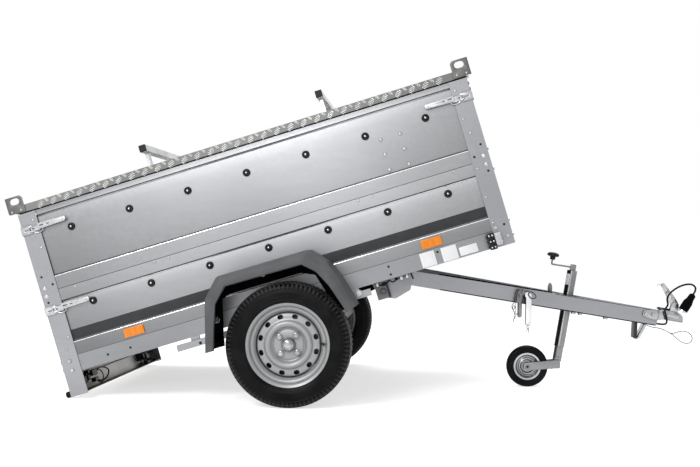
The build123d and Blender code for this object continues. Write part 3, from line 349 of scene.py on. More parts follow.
# %% Tread plate and wheel paint
def tread_metal():
    """Rolled aluminium, its flats painted darker than the bars as shade."""
    paint, tree, shader, place = new_finish("tread_metal", 0.85, 0.5, (0.16, 0.16, 0.157))
    grain = noise(tree, place, 1.3, 2.0)
    colour = tint(tree, spread(tree, grain, 0.35, 0.65, 0.0, 1.0), (0.14, 0.14, 0.138), (0.20, 0.20, 0.197))
    # painted shade where surfaces meet
    shaded_corner(tree, shader, colour, 0.008, 0.35)
    return paint


def wheel_paint():
    """Silver wheel enamel: fine flake under a satin coat."""
    paint, tree, shader, place = new_finish("wheel_paint", 0.4, 0.42, (0.42, 0.425, 0.43))
    flake = node_at(tree, "ShaderNodeTexVoronoi", Vector=place, Scale=1400.0)
    sparkle = node_at(tree, "ShaderNodeSeparateColor", Color=flake.outputs["Color"])
    colour = tint(tree, sparkle.outputs[0], (0.27, 0.275, 0.28), (0.34, 0.345, 0.35))
    # painted shade where surfaces meet
    shaded_corner(tree, shader, colour, 0.016, 0.6)
    adjust(tree, shader, Coat_Weight=0.15, Coat_Roughness=0.25)
    relief(tree, shader, noise(tree, place, 260, 2.0), 0.00006, 0.3)
    return paint


SHADED_TREAD_FLATS = tread_metal()
WHEEL_PAINT = wheel_paint()


# %% Plastics, rubber, wood and lenses
def grained(name, colour, paler, roughness, grain_scale, depth, shine=0.2):
    """Moulded plastic or rubber: a leathery grain and a trace of dust."""
    paint, tree, shader, place = new_finish(name, 0.0, roughness, colour)
    dust = noise(tree, place, 14, 5.0)
    adjust(tree, shader, Base_Color=tint(tree, spread(tree, dust, 0.42, 0.75, 0.0, 1.0), colour, paler),
           Roughness=spread(tree, dust, 0.3, 0.7, roughness - 0.05, roughness + 0.1), Specular_IOR_Level=shine)
    grain = node_at(tree, "ShaderNodeTexVoronoi", Vector=place, Scale=grain_scale)
    relief(tree, shader, grain.outputs["Distance"], depth, 0.5)
    return paint


GUARD_PLASTIC = grained("guard_plastic", (0.085, 0.087, 0.092), (0.115, 0.117, 0.123), 0.5, 900.0, 0.0002)
BLACK_PLASTIC = grained("black_plastic", (0.007, 0.007, 0.0075), (0.016, 0.016, 0.017), 0.35, 700.0, 0.0001)
TYRE_RUBBER = grained("tyre_rubber", (0.0015, 0.0015, 0.0016), (0.008, 0.008, 0.0083), 0.34, 500.0, 0.0002, 0.09)
TREAD_RUBBER = grained("tread_rubber", (0.010, 0.010, 0.0103), (0.030, 0.030, 0.031), 0.5, 500.0, 0.0002, 0.2)
SOFT_RUBBER = grained("soft_rubber", (0.010, 0.010, 0.011), (0.018, 0.018, 0.019), 0.6, 900.0, 0.0001)
STRIPE_FILM = grained("stripe_film", (0.044, 0.045, 0.049), (0.053, 0.054, 0.058), 0.4, 300.0, 0.00002, 0.1)


def faced_ply():
    """Film-faced plywood: dark brown film with a fine mesh print."""
    paint, tree, shader, place = new_finish("faced_ply", 0.0, 0.5, (0.07, 0.04, 0.025))
    film = spread(tree, noise(tree, place, 8, 5.0, stretch=(0.4, 2.0, 2.0)), 0.3, 0.7, 0.0, 1.0)
    adjust(tree, shader, Base_Color=tint(tree, film, (0.045, 0.026, 0.017), (0.10, 0.06, 0.04)))
    weave = node_at(tree, "ShaderNodeTexVoronoi", Vector=place, Scale=260.0)
    relief(tree, shader, weave.outputs["Distance"], 0.0004, 0.5)
    return paint


def lens(name, colour, clear):
    """Moulded lens: glossy colour over fine prisms."""
    paint, tree, shader, place = new_finish(name, 0.0, 0.12, colour)
    prisms = node_at(tree, "ShaderNodeTexVoronoi", distance="CHEBYCHEV", Vector=place, Scale=240.0,
                     Randomness=0.0).outputs["Distance"]
    shade = tuple(c * 0.72 for c in colour)
    adjust(tree, shader, Transmission_Weight=clear, IOR=1.49,
           Base_Color=tint(tree, spread(tree, prisms, 0.0, 0.7, 1.0, 0.0), shade, colour))
    relief(tree, shader, prisms, 0.0006, 0.6)
    return paint


def label_white():
    """Blank adhesive plate, very slightly uneven."""
    paint, tree, shader, place = new_finish("label_white", 0.0, 0.35, (0.80, 0.81, 0.82))
    wave = noise(tree, place, 30, 2.0)
    adjust(tree, shader, Base_Color=tint(tree, wave, (0.74, 0.75, 0.76), (0.86, 0.87, 0.88)))
    return paint


FACED_PLY = faced_ply()
RED_LENS = lens("red_lens", (0.42, 0.012, 0.012), 0.0)
CLEAR_LENS = lens("clear_lens", (0.82, 0.84, 0.86), 0.25)
AMBER_LENS = lens("amber_lens", (0.95, 0.27, 0.0), 0.0)
LABEL_WHITE = label_white()
LEAD_BLACK = grained("lead_black", (0.002, 0.002, 0.0022), (0.005, 0.005, 0.0053), 0.18, 900.0, 0.00002, 0.12)
MATT_BLACK = grained("matt_black", (0.0015, 0.0015, 0.0016), (0.004, 0.004, 0.0042), 0.7, 900.0, 0.0001, 0.04)
print("finishes", len(bpy.data.materials))

# %% [markdown]
# ## Workshop
# Every added piece is drawn in millimetres in the frame where it is easiest to draw, then carried into the
# world in one step. A few builders cover most of them: turned shapes, cut plates, bent rods and blocks.
# They all add to one bmesh, so a piece may have as many parts as the real one has.

# %% Places and outlines
TAIL_U, NOSE_U = -1017, 1042            # outer faces of the corner posts, along the box
HALF_W = 585                            # outer faces of the posts from the centreline
SIDE_OUT = 582.5                        # outer faces of rails and boards
PANEL_OUT = 576.5                       # sunk faces of the pressed panels
SIDE = spun(math.pi / 2, "X")           # local Z out of the right side, Y up


def on_side(u, w, out):
    """Place on the right side: local X forwards, Y up, Z outwards."""
    return moved(u, -out, w) @ SIDE


def framed(origin, x, y):
    """Place whose local X and Y follow two directions."""
    x, y = Vector(x).normalized(), Vector(y).normalized()
    return Matrix.Translation(origin) @ Matrix((x, y, x.cross(y))).transposed().to_4x4()


def rounded(corners, steps=5):
    """Outline from corners (x, y, radius), each turned into an arc."""
    outline = []
    for k, (x, y, r) in enumerate(corners):
        here = Vector((x, y))
        before = (Vector(corners[k - 1][:2]) - here).normalized()
        after = (Vector(corners[(k + 1) % len(corners)][:2]) - here).normalized()
        if r == 0:
            outline.append((x, y))
            continue
        half = before.angle(after) / 2
        centre = here + (before + after).normalized() * (r / math.sin(half))
        start = here + before * (r / math.tan(half)) - centre
        end = here + after * (r / math.tan(half)) - centre
        a0 = math.atan2(start.y, start.x)
        sweep = (math.atan2(end.y, end.x) - a0 + math.pi) % (2 * math.pi) - math.pi
        for i in range(steps + 1):
            a = a0 + sweep * i / steps
            outline.append((centre.x + r * math.cos(a), centre.y + r * math.sin(a)))
    return outline


def rect(x0, y0, x1, y1, r, steps=5):
    """Outline of a rectangle with four like corners."""
    return rounded([(x0, y0, r), (x1, y0, r), (x1, y1, r), (x0, y1, r)], steps)


def oblong(x, y, reach, r, turn=0.0):
    """Slot outline: two half circles of radius r, reach apart from the middle; reach 0 is a circle."""
    c, s = math.cos(math.radians(turn)), math.sin(math.radians(turn))
    outline, steps = [], 8
    for end in (1, -1):
        for i in range(steps + 1):
            a = math.radians(-90 + 180 * i / steps) + (0 if end == 1 else math.pi)
            px, py = end * reach + r * math.cos(a), r * math.sin(a)
            outline.append((x + px * c - py * s, y + px * s + py * c))
    return outline


# %% Builders
HERE = Matrix.Identity(4)


def add_spline(curve, kind, points, closed=False):
    """Adds a spline through points; kind is POLY or NURBS."""
    spline = curve.splines.new(kind)
    spline.points.add(len(points) - 1)
    for point, at in zip(spline.points, points):
        point.co = (*at, 1)
    spline.use_cyclic_u = closed
    return spline


def from_curve(bm, curve, place):
    """Adds a curve's mesh."""
    maker = in_scene("maker", curve)
    evaluated = maker.evaluated_get(bpy.context.evaluated_depsgraph_get())
    mesh = bpy.data.meshes.new_from_object(evaluated)
    mesh.transform(place)
    bm.from_mesh(mesh)
    bpy.data.objects.remove(maker)
    bpy.data.meshes.remove(mesh)


def cut_plate(bm, outer, low, high, place=HERE, holes=(), soften=0.4):
    """Plate from low to high along Z with softened edges; outer and holes are outlines."""
    curve = bpy.data.curves.new("plate", "CURVE")
    curve.dimensions = "2D"
    curve.fill_mode = "BOTH"
    curve.extrude = (high - low) / 2 - soften
    curve.bevel_depth = soften
    curve.bevel_resolution = 1
    curve.offset = -soften
    for outline in (outer, *holes):
        add_spline(curve, "POLY", [(x, y, 0) for x, y in outline], closed=True)
    from_curve(bm, curve, place @ moved(0, 0, (low + high) / 2))


def bent_rod(bm, points, radius, place=HERE, smooth=True, closed=False, sides=2):
    """Round bar along points; smooth ones are NURBS with those points as control points."""
    curve = bpy.data.curves.new("rod", "CURVE")
    curve.dimensions = "3D"
    spline = add_spline(curve, "NURBS" if smooth else "POLY", points, closed)
    if smooth:
        spline.order_u = 3
        spline.use_endpoint_u = not closed
        spline.resolution_u = 5
    curve.bevel_depth = radius
    curve.bevel_resolution = sides
    curve.use_fill_caps = not closed
    from_curve(bm, curve, place)


def turned(bm, outline, place=HERE, steps=32, closed=False):
    """Outline of (radius, height) turned about Z; closed joins its last point to its first."""
    rings = []
    for r, h in outline:
        count = 1 if r < 0.001 else steps
        turns = [2 * math.pi * k / count for k in range(count)]
        rings.append([bm.verts.new(place @ Vector((r * math.cos(a), r * math.sin(a), h))) for a in turns])
    if closed:
        rings.append(rings[0])
    for low, high in zip(rings, rings[1:]):
        for k in range(steps):
            corners = [low[k % len(low)], low[(k + 1) % len(low)], high[(k + 1) % len(high)], high[k % len(high)]]
            corners = list(dict.fromkeys(corners))
            if len(corners) > 2:
                bm.faces.new(corners)


def loft(bm, rows):
    """Closed sections, each a list of vertices, joined into a solid with flat ends."""
    for first, second in zip(rows, rows[1:]):
        for k in range(len(first)):
            n = (k + 1) % len(first)
            bm.faces.new((first[k], first[n], second[n], second[k]))
    bm.faces.new(rows[0])
    bm.faces.new(rows[-1][::-1])


def drum(r, high):
    """Outline of a plain cylinder, for turned."""
    return [(0, 0), (r, 0), (r, high), (0, high)]


def block(bm, low, high, place=HERE, soften=0.6):
    """Box between two corners with softened edges."""
    made = bmesh.ops.create_cube(bm, size=1.0)["verts"]
    centre = [(a + b) / 2 for a, b in zip(low, high)]
    size = [abs(b - a) for a, b in zip(low, high)]
    for vert in made:
        vert.co = place @ Vector([c + v * s for c, v, s in zip(centre, vert.co, size)])
    if soften:
        edges = list({edge for vert in made for edge in vert.link_edges})
        bmesh.ops.bevel(bm, geom=edges, offset=soften, segments=1, affect="EDGES")


def as_object(bm, name, crease=32):
    """Closes a bmesh into an object: doubles merged, faces outwards, flats and curves told apart."""
    bmesh.ops.remove_doubles(bm, verts=bm.verts, dist=0.002)
    bmesh.ops.recalc_face_normals(bm, faces=bm.faces)
    mesh = bpy.data.meshes.new(name)
    bm.to_mesh(mesh)
    bm.free()
    mesh.shade_smooth()
    mesh.set_sharp_from_angle(angle=math.radians(crease))
    return in_scene(name, mesh)


def settle(piece):
    """Applies a piece's modifiers, so that it is plain mesh."""
    evaluated = piece.evaluated_get(bpy.context.evaluated_depsgraph_get())
    mesh = bpy.data.meshes.new_from_object(evaluated)
    piece.modifiers.clear()
    piece.data = mesh
    return piece


def hand_over(piece, place, finish, body, instead_of=(), twin=False):
    """Carries a finished piece into the world, mirrors it if it has a twin, and gives it to its body."""
    mesh = piece.data
    mesh.transform(place)
    if twin:
        bm = bmesh.new()
        bm.from_mesh(mesh)
        copy = bmesh.ops.duplicate(bm, geom=bm.verts[:] + bm.edges[:] + bm.faces[:])["geom"]
        for item in copy:
            if isinstance(item, bmesh.types.BMVert):
                item.co.y = -item.co.y
        bmesh.ops.reverse_faces(bm, faces=[f for f in copy if isinstance(f, bmesh.types.BMFace)])
        bm.to_mesh(mesh)
        bm.free()
    mesh.materials.clear()
    mesh.materials.append(finish)
    for face in mesh.polygons:
        face.material_index = 0
    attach(piece, body)
    if instead_of:
        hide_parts(*instead_of)
    print(piece.name, len(mesh.polygons), "faces")
    return piece


def frame_of(body):
    """The frame that a body's pieces are drawn in."""
    return BOX if body in ("chassis", "cover") else BAR


def give(bm, name, finish, instead_of=(), body="chassis", twin=False, crease=32):
    """Closes a bmesh and hands it over in one step."""
    return hand_over(as_object(bm, name, crease), frame_of(body), finish, body, instead_of, twin)


# %% [markdown]
# ## Fixings from one node tree
# A trailer is held together by dozens of like screws. One Geometry Nodes tree puts a copy of a fixing on
# every vertex of a small point mesh, turned so that it faces the way the point's attribute says.
# Realize Instances makes it real mesh at the end, and Set Material gives it its finish.

# %% Helpers for node trees, and the fixings tree
def new_tree(name, **inputs):
    """A tree with a geometry in and out and further named inputs, and the identifiers of those inputs."""
    tree = bpy.data.node_groups.new(name, "GeometryNodeTree")
    keys = {}
    for title, kind in (("Geometry", "Geometry"), *inputs.items(), ("Finish", "Material")):
        item = tree.interface.new_socket(name=title.replace("_", " "), in_out="INPUT", socket_type=f"NodeSocket{kind}")
        keys[title] = item.identifier
    tree.interface.new_socket(name="Geometry", in_out="OUTPUT", socket_type="NodeSocketGeometry")
    return tree, keys


def copier(tree, item, points, turn, **more):
    """Puts a copy of an item on every point, turned, made real and with its finish."""
    given = node_at(tree, "NodeGroupInput").outputs
    shape = node_at(tree, "GeometryNodeObjectInfo", transform_space="ORIGINAL", Object=given[item])
    copies = node_at(tree, "GeometryNodeInstanceOnPoints", Points=points, Instance=shape.outputs["Geometry"],
                     Rotation=turn, **more)
    real = node_at(tree, "GeometryNodeRealizeInstances", Geometry=copies.outputs["Instances"])
    coat = node_at(tree, "GeometryNodeSetMaterial", Geometry=real.outputs["Geometry"], Material=given["Finish"])
    node_at(tree, "NodeGroupOutput", Geometry=coat.outputs["Geometry"])


def run_tree(piece, tree, keys, **values):
    """Puts a tree on a piece, sets its inputs and applies it."""
    modifier = piece.modifiers.new(tree.name, "NODES")
    modifier.node_group = tree
    for title, value in values.items():
        modifier[keys[title]] = value
    return settle(piece)


def grow(bm, place, tree, keys, **values):
    """Adds what a tree makes by itself."""
    maker = in_scene("maker", bpy.data.meshes.new("maker"))
    run_tree(maker, tree, keys, **values)
    maker.data.transform(place)
    bm.from_mesh(maker.data)
    bpy.data.objects.remove(maker)


fixings, FIXING_KEYS = new_tree("fixings", Fixing="Object", Size="Float")
given = node_at(fixings, "NodeGroupInput").outputs
facing = node_at(fixings, "GeometryNodeInputNamedAttribute", data_type="FLOAT_VECTOR", Name="facing")
aim = node_at(fixings, "FunctionNodeAlignRotationToVector", axis="Z", Vector=facing.outputs["Attribute"])
copier(fixings, "Fixing", given["Geometry"], aim.outputs["Rotation"], Scale=given["Size"])


def fasten(name, shape, places, finish, size=1.0, body="chassis"):
    """Copies of a fixing on both sides; each of its places is a point and the way it faces."""
    mesh = bpy.data.meshes.new(name)
    mesh.from_pydata([point for point, _ in places], [], [])
    way = mesh.attributes.new("facing", "FLOAT_VECTOR", "POINT")
    for item, (_, direction) in zip(way.data, places):
        item.vector = direction
    piece = in_scene(name, mesh)
    run_tree(piece, fixings, FIXING_KEYS, Fixing=shape, Size=size, Finish=finish)
    hand_over(piece, frame_of(body), finish, body, twin=True)


# %% The fixings themselves
def fixing(name, outline, steps=16):
    """A turned fixing in millimetres that stands on Z = 0."""
    bm = bmesh.new()
    turned(bm, outline, steps=steps)
    return as_object(bm, name)


def hex_bolt(name, across, height, washer):
    """Six-sided head on a washer, with a domed chamfer."""
    bm = bmesh.new()
    r = across / math.sqrt(3)
    turned(bm, drum(washer, 1.2), steps=20)
    turned(bm, [(0, 1.2), (r, 1.2), (r, height - 0.8), (r * 0.86, height), (0, height)], steps=6)
    return as_object(bm, name, crease=25)


BUTTON_R = 17
rivet = fixing("rivet_shape", [(0, 0), (5.5, 0), (5.3, 1.0), (4.0, 2.3), (2.0, 3.0), (0, 3.2)], steps=12)
dome_bolt = fixing("dome_bolt_shape", [(0, 0), (10, 0), (10, 0.8), (8, 1.0), (7.6, 2.6), (5.5, 4.6), (2.5, 5.6),
                                       (0, 5.8)])
plug_cap = fixing("plug_cap_shape", [(0, 0), (5.2, 0), (5.2, 0.5), (3.6, 0.9), (0, 0.6)], steps=14)
button = fixing("button_shape", [(0, 0), (BUTTON_R, 0), (BUTTON_R, 2.0), (15.5, 5.0), (12.5, 7.2), (10.5, 7.4),
                                 (9.5, 5.8), (7.5, 5.8), (6.8, 8.6), (3.6, 9.6), (0, 9.8)], steps=28)
button_screw = fixing("button_screw_shape", [(0, 9.7), (4.0, 9.7), (3.8, 10.8), (2.0, 11.8), (0, 12.0)], steps=14)
hex_small = hex_bolt("hex_small_shape", 13, 6, 9.5)
hex_large = hex_bolt("hex_large_shape", 19, 9, 14)
MAKERS = [rivet, dome_bolt, plug_cap, button, button_screw, hex_small, hex_large]
RIGHT = (0, -1, 0)
REAR, FRONT = (-1, 0, 0), (1, 0, 0)


def side_points(out, pairs):
    """Places on the right side at one distance from the centreline."""
    return [((u, -out, w), RIGHT) for u, w in pairs]


print("fixing shapes", len(MAKERS))

# %% [markdown]
# ## Fixings on posts, rails and boards
# The posts are riveted to the boards and bolted at the joint between lower and raised boards. Tarpaulin
# buttons, black with a bright screw, sit in two rows on the pressed panels. Unused holes carry black caps.
# Each row is one list, drawn on the right side and mirrored.

# %% Bright fixings of the box
POST_RIVETS = [(-957, 837), (-937, 857), (-955, 711), (-955, 602), (-954, 298), (981, 835), (979, 709), (992, 644),
               (977, 488), (977, 360), (-975, 246), (975, 246)]
POST_BOLTS = [(-993, 533), (-995, 497), (1018, 533), (1019, 495)]
FOOT_BOLTS = [(-979, 193), (-978, 152), (978, 223), (1019, 176)]
PANEL_RIVETS = [(u, w) for w in (728, 661, 592) for u in (616, 703)]
SEAM_RIVETS = [(-488, 504), (-423, 504), (448, 504), (513, 504), (-860, 504), (880, 504)]
fasten("rivets", rivet, side_points(HALF_W, POST_RIVETS) + side_points(SIDE_OUT, SEAM_RIVETS), RIVET_ZINC)
fasten("panel_rivets", rivet, side_points(PANEL_OUT, PANEL_RIVETS), RIVET_ZINC, size=1.5)
fasten("post_bolts", dome_bolt, side_points(HALF_W, POST_BOLTS), BRIGHT_ZINC)
fasten("foot_bolts", hex_small, side_points(HALF_W, FOOT_BOLTS), BRIGHT_ZINC)

# %% Bolts on the tail and nose faces
fasten("tail_bolts", hex_small, [((TAIL_U, -565, w), REAR) for w in (160, 196)], BRIGHT_ZINC, size=1.4)
fasten("nose_bolts", hex_small, [((NOSE_U, -565, w), FRONT) for w in (176, 240, 470, 560)], BRIGHT_ZINC)
HINGE_BOLT_W = (786, 808, 831, 855)
fasten("hinge_bolts", hex_small, [((NOSE_U + 2.5, -553, w), FRONT) for w in HINGE_BOLT_W], LOCK_GREY, size=0.9)

# %% Black caps and tarpaulin buttons
CAPS = [(-993, 584), (-953, 540), (-995, 467), (1019, 584), (978, 539), (1019, 466), (1018, 227)]
RAIL_CAPS = [(-805, 174), (-699, 175), (491, 193), (491, 158), (711, 194)]
cap_places = side_points(HALF_W, CAPS) + side_points(SIDE_OUT, RAIL_CAPS)
fasten("hole_caps", plug_cap, cap_places, BLACK_PLASTIC)
BUTTON_U = (-801, -529, -257, 14, 285, 555, 826)
BUTTON_W = (762, 421)
button_places = side_points(PANEL_OUT, [(u, w) for w in BUTTON_W for u in BUTTON_U])
fasten("tarpaulin_buttons", button, button_places, BLACK_PLASTIC)
fasten("button_screws", button_screw, button_places, BRIGHT_ZINC)

# %% [markdown]
# ## Beads and seams
# Every pressed panel ends in a bead. Its shadowed side is a thin dark strip of painted shade and its rolled side
# a bright rod of painted highlight, and dark strips of painted shade mark the seams where the boards and rails meet.

# %% Beads and seams
BEAD_U = (-939, 965)
bm = bmesh.new()
for w, y in ((571.6, SIDE_OUT), (455.6, PANEL_OUT + 1.4), (269.6, SIDE_OUT)):
    bent_rod(bm, [(BEAD_U[0], -(y - 0.5), w), (BEAD_U[1], -(y - 0.5), w)], 1.6, smooth=False)
give(bm, "rolled_beads", BEAD_HIGHLIGHT_ZINC, twin=True)
bm = bmesh.new()
for w, high, y in ((852.5, 4.2, SIDE_OUT + 0.2), (575.4, 4.0, SIDE_OUT - 1), (514.2, 2.0, SIDE_OUT + 0.3),
                   (459.6, 4.2, SIDE_OUT + 0.2), (213, 1.7, SIDE_OUT + 0.3)):
    block(bm, (BEAD_U[0], -y, w - high / 2), (BEAD_U[1], -y + 1.6, w + high / 2), soften=0.2)
give(bm, "bead_shadows", PAINTED_SHADE_ZINC, twin=True)

# %% [markdown]
# ## Stripe and blank plates
# A dark-grey film stripe runs along the foot of the lower panel, and three blank plates sit on the rail
# behind the front lamp. They are thin, so each is a cut plate a fraction of a millimetre thick.

# %% Stripe film and plates
STRIPE_U, STRIPE_W = (-936, 961), (278, 324)
bm = bmesh.new()
cut_plate(bm, rect(STRIPE_U[0], STRIPE_W[0], STRIPE_U[1], STRIPE_W[1], 0), 0, 0.5, on_side(0, 0, PANEL_OUT), soften=0.1)
give(bm, "side_stripe", STRIPE_FILM, twin=True)
# u from, u to, w from, w to
PLATES = [(632, 697, 143, 207), (726, 794, 143, 205), (803, 882, 148, 185)]
bm = bmesh.new()
for u0, u1, w0, w1 in PLATES:
    outline = rect(u0, w0, u1, w1, 3, 3)
    cut_plate(bm, outline, 0, 0.5, on_side(0, 0, SIDE_OUT), soften=0.1)
give(bm, "blank_plates", LABEL_WHITE)

# %% Side reflectors
REFLECTOR_U, REFLECTOR_MID_W = (-662, 698), 240
bm = bmesh.new()
for u in REFLECTOR_U:
    face = on_side(u, REFLECTOR_MID_W, SIDE_OUT)
    cut_plate(bm, rect(-46, -20, 46, 20, 3, 3), 0, 5.0, face, soften=1.2)
    for x in (-31, 0, 31):
        half = 15 if x else 8
        cut_plate(bm, rect(x - half + 1, -17, x + half - 1, 17, 1, 2), 4.8, 5.8, face, soften=0.3)
give(bm, "reflectors", AMBER_LENS, ("side_reflectors",), twin=True)

# %% [markdown]
# ## Cover: five-bar tread
# Tread plate has clusters of five raised bars, each cluster at right angles to its neighbours. A second
# node tree lays one cluster on every point of a grid and turns every other one. A bar is a low hip roof
# of six faces, because thousands of them are needed.

# %% Tread bars
BAR_PITCH = 61
COVER_TOP, COVER_SKIRT = 914, 588       # the cover's top and side faces, in the box frame
COVER_U = (-1020, 1045)
SKIRT_MID = 898


def bar_cluster(name, lengths, spacing, width, height):
    """Raised bars side by side along Y, each a hip roof along X."""
    bm = bmesh.new()
    for k, length in enumerate(lengths):
        y = (k - (len(lengths) - 1) / 2) * spacing
        a, b = length / 2, width / 2
        foot = [bm.verts.new((x, y + s * b * w, 0)) for x, s, w in
                ((-a, 0, 0), (-a * 0.55, -1, 1), (a * 0.55, -1, 1), (a, 0, 0), (a * 0.55, 1, 1), (-a * 0.55, 1, 1))]
        ridge = [bm.verts.new((x, y, height)) for x in (-a * 0.6, a * 0.6)]
        for corners in ((foot[0], foot[1], ridge[0]), (foot[1], foot[2], ridge[1], ridge[0]),
                        (foot[2], foot[3], ridge[1]), (foot[3], foot[4], ridge[1]),
                        (foot[4], foot[5], ridge[0], ridge[1]), (foot[5], foot[0], ridge[0])):
            bm.faces.new(corners)
        bm.faces.new(foot[::-1])
    return as_object(bm, name, crease=10)


treads, TREAD_KEYS = new_tree("tread_plate", Length="Float", Width="Float", Clusters_along="Int", Clusters_across="Int",
                              Cluster="Object", Lean="Float", Turn_of_every_other="Float")
given = node_at(treads, "NodeGroupInput").outputs
across = given["Clusters across"]
grid = node_at(treads, "GeometryNodeMeshGrid", Size_X=given["Length"], Size_Y=given["Width"],
               Vertices_X=given["Clusters along"], Vertices_Y=across)
index = node_at(treads, "GeometryNodeInputIndex").outputs[0]
row = math_node(treads, "FLOOR", math_node(treads, "DIVIDE", index, across))
column = math_node(treads, "FLOORED_MODULO", index, across)
parity = math_node(treads, "FLOORED_MODULO", math_node(treads, "ADD", row, column), 2)
lean = math_node(treads, "MULTIPLY_ADD", parity, given["Turn of every other"], given["Lean"])
copier(treads, "Cluster", grid.outputs["Mesh"], node_at(treads, "ShaderNodeCombineXYZ", Z=lean).outputs[0])


def tread_sheet(bm, length, width, columns, rows, cluster, lean, place, other=90):
    """Adds clusters over a sheet: how many each way, the lean of the first and the turn of every other."""
    grow(bm, place, treads, TREAD_KEYS, Length=length, Width=width, Clusters_along=columns, Clusters_across=rows,
         Turn_of_every_other=math.radians(other), Cluster=cluster, Lean=math.radians(lean), Finish=LIT_BAR_ZINC)


# %% Lay the tread on the cover
full = bar_cluster("cluster_full", (24, 24, 24, 24, 24), 7.4, 4.2, 1.3)
trimmed = bar_cluster("cluster_trimmed", (20, 27, 29, 27, 20), 7.0, 3.3, 1.4)
stub = bar_cluster("cluster_stub", (11, 15, 15, 11), 5.7, 3.0, 1.1)
cover_length, cover_width = COVER_U[1] - COVER_U[0], 2 * COVER_SKIRT
mid_u = (COVER_U[0] + COVER_U[1]) / 2
step = BAR_PITCH / math.sqrt(2)
TOP_MARGIN, SKIRT_MARGIN, TAIL_MARGIN = 40, 150, 80  # bare edges of the sheet, both ends together
columns, rows = int((cover_length - TOP_MARGIN) / step), int((cover_width - TOP_MARGIN) / step)
bm = bmesh.new()
tread_sheet(bm, (columns - 1) * step, (rows - 1) * step, columns, rows, full, 45,
            moved(mid_u, 0, COVER_TOP))
skirt_count = int((cover_length - SKIRT_MARGIN) / BAR_PITCH)
tail_count = int((cover_width - TAIL_MARGIN) / BAR_PITCH)
for turn_z, middle in ((0, mid_u), (180, -mid_u)):
    face = spun(math.radians(turn_z)) @ moved(middle, -COVER_SKIRT, SKIRT_MID) @ SIDE
    for count, cluster, lean, high in ((skirt_count, trimmed, -45, -3.5), (skirt_count - 1, stub, 45, 9)):
        tread_sheet(bm, (count - 1) * BAR_PITCH, 0, count, 1, cluster, lean, face @ moved(0, high, 0), 0)
for turn_z, out in ((-90, -COVER_U[0]), (90, COVER_U[1])):
    face = spun(math.radians(turn_z)) @ moved(0, -out, SKIRT_MID) @ SIDE
    tread_sheet(bm, (tail_count - 1) * BAR_PITCH, 0, tail_count, 1, trimmed, -45, face, 0)
print("tread faces", len(bm.faces))
give(bm, "cover_tread", LIT_BAR_ZINC, body="cover", crease=10)
for maker in (full, trimmed, stub):
    bpy.data.objects.remove(maker)

# %% [markdown]
# ## Corner brackets and crossbars of the cover
# Each corner has a plate with one rounded corner, a long eye for straps and two screws into the skirt.
# The crossbars are square tubes with black plastic caps.

# %% Corner brackets
LUG_U, LUG_H, LUG_W0 = 78, 76, 884
LUG_REAR_U0, LUG_FRONT_U0 = TAIL_U - 35, NOSE_U + 26 - LUG_U
bm = bmesh.new()
lug_screws = []
for u0, round_end in ((LUG_REAR_U0, 1), (LUG_FRONT_U0, 0)):
    r_left, r_right = (3, 16) if round_end else (16, 3)
    outline = rounded([(0, 0, 8 if round_end else 2), (LUG_U, 0, 2), (LUG_U, LUG_H, r_right), (0, LUG_H, r_left)])
    eye = oblong(LUG_U / 2 + (2 if round_end else -2), 53, 7, 14)
    cut_plate(bm, outline, 0, 3, on_side(u0, LUG_W0, COVER_SKIRT), (eye,), soften=0.5)
    for x in (17, 59):
        lug_screws.append(((u0 + x, -(COVER_SKIRT + 3), LUG_W0 + 11), RIGHT))
flange_u = LUG_FRONT_U0 + LUG_U
cut_plate(bm, rounded([(0, 0, 2), (16, 0, 2), (16, LUG_H, 6), (0, LUG_H, 2)]), 0, 2.6,
          moved(flange_u - 2.6, -(COVER_SKIRT + 3), LUG_W0) @ spun(math.pi / 2) @ SIDE)
give(bm, "corner_brackets", LUG_GREY, ("cover_lugs",), body="cover", twin=True)
fasten("bracket_screws", rivet, lug_screws, RIVET_ZINC, size=0.95, body="cover")

# %% Caps of the crossbars
BAR_W, BAR_SIZE, BARS_U = 982, 29, (-395, 415)
bm = bmesh.new()
for u in BARS_U:
    reach = BAR_SIZE / 2 + 0.6
    block(bm, (u - reach, -HALF_W - 4, BAR_W - 0.6), (u + reach, -HALF_W + 8, BAR_W + BAR_SIZE + 0.6), soften=1.5)
give(bm, "crossbar_caps", BLACK_PLASTIC, body="cover", twin=True)

# %% [markdown]
# ## Toggle latches
# A pressed strap wraps the post's edge, and a claw on a wire bail hooks it. The long lever is folded
# sheet with a rib along each edge and a rounded end. The same latch is drawn once and placed three times
# on a side; at the front it is turned end for end.

# %% Latches
LATCHES = [(TAIL_U, 1, 799), (TAIL_U, 1, 430), (NOSE_U, -1, 799)]


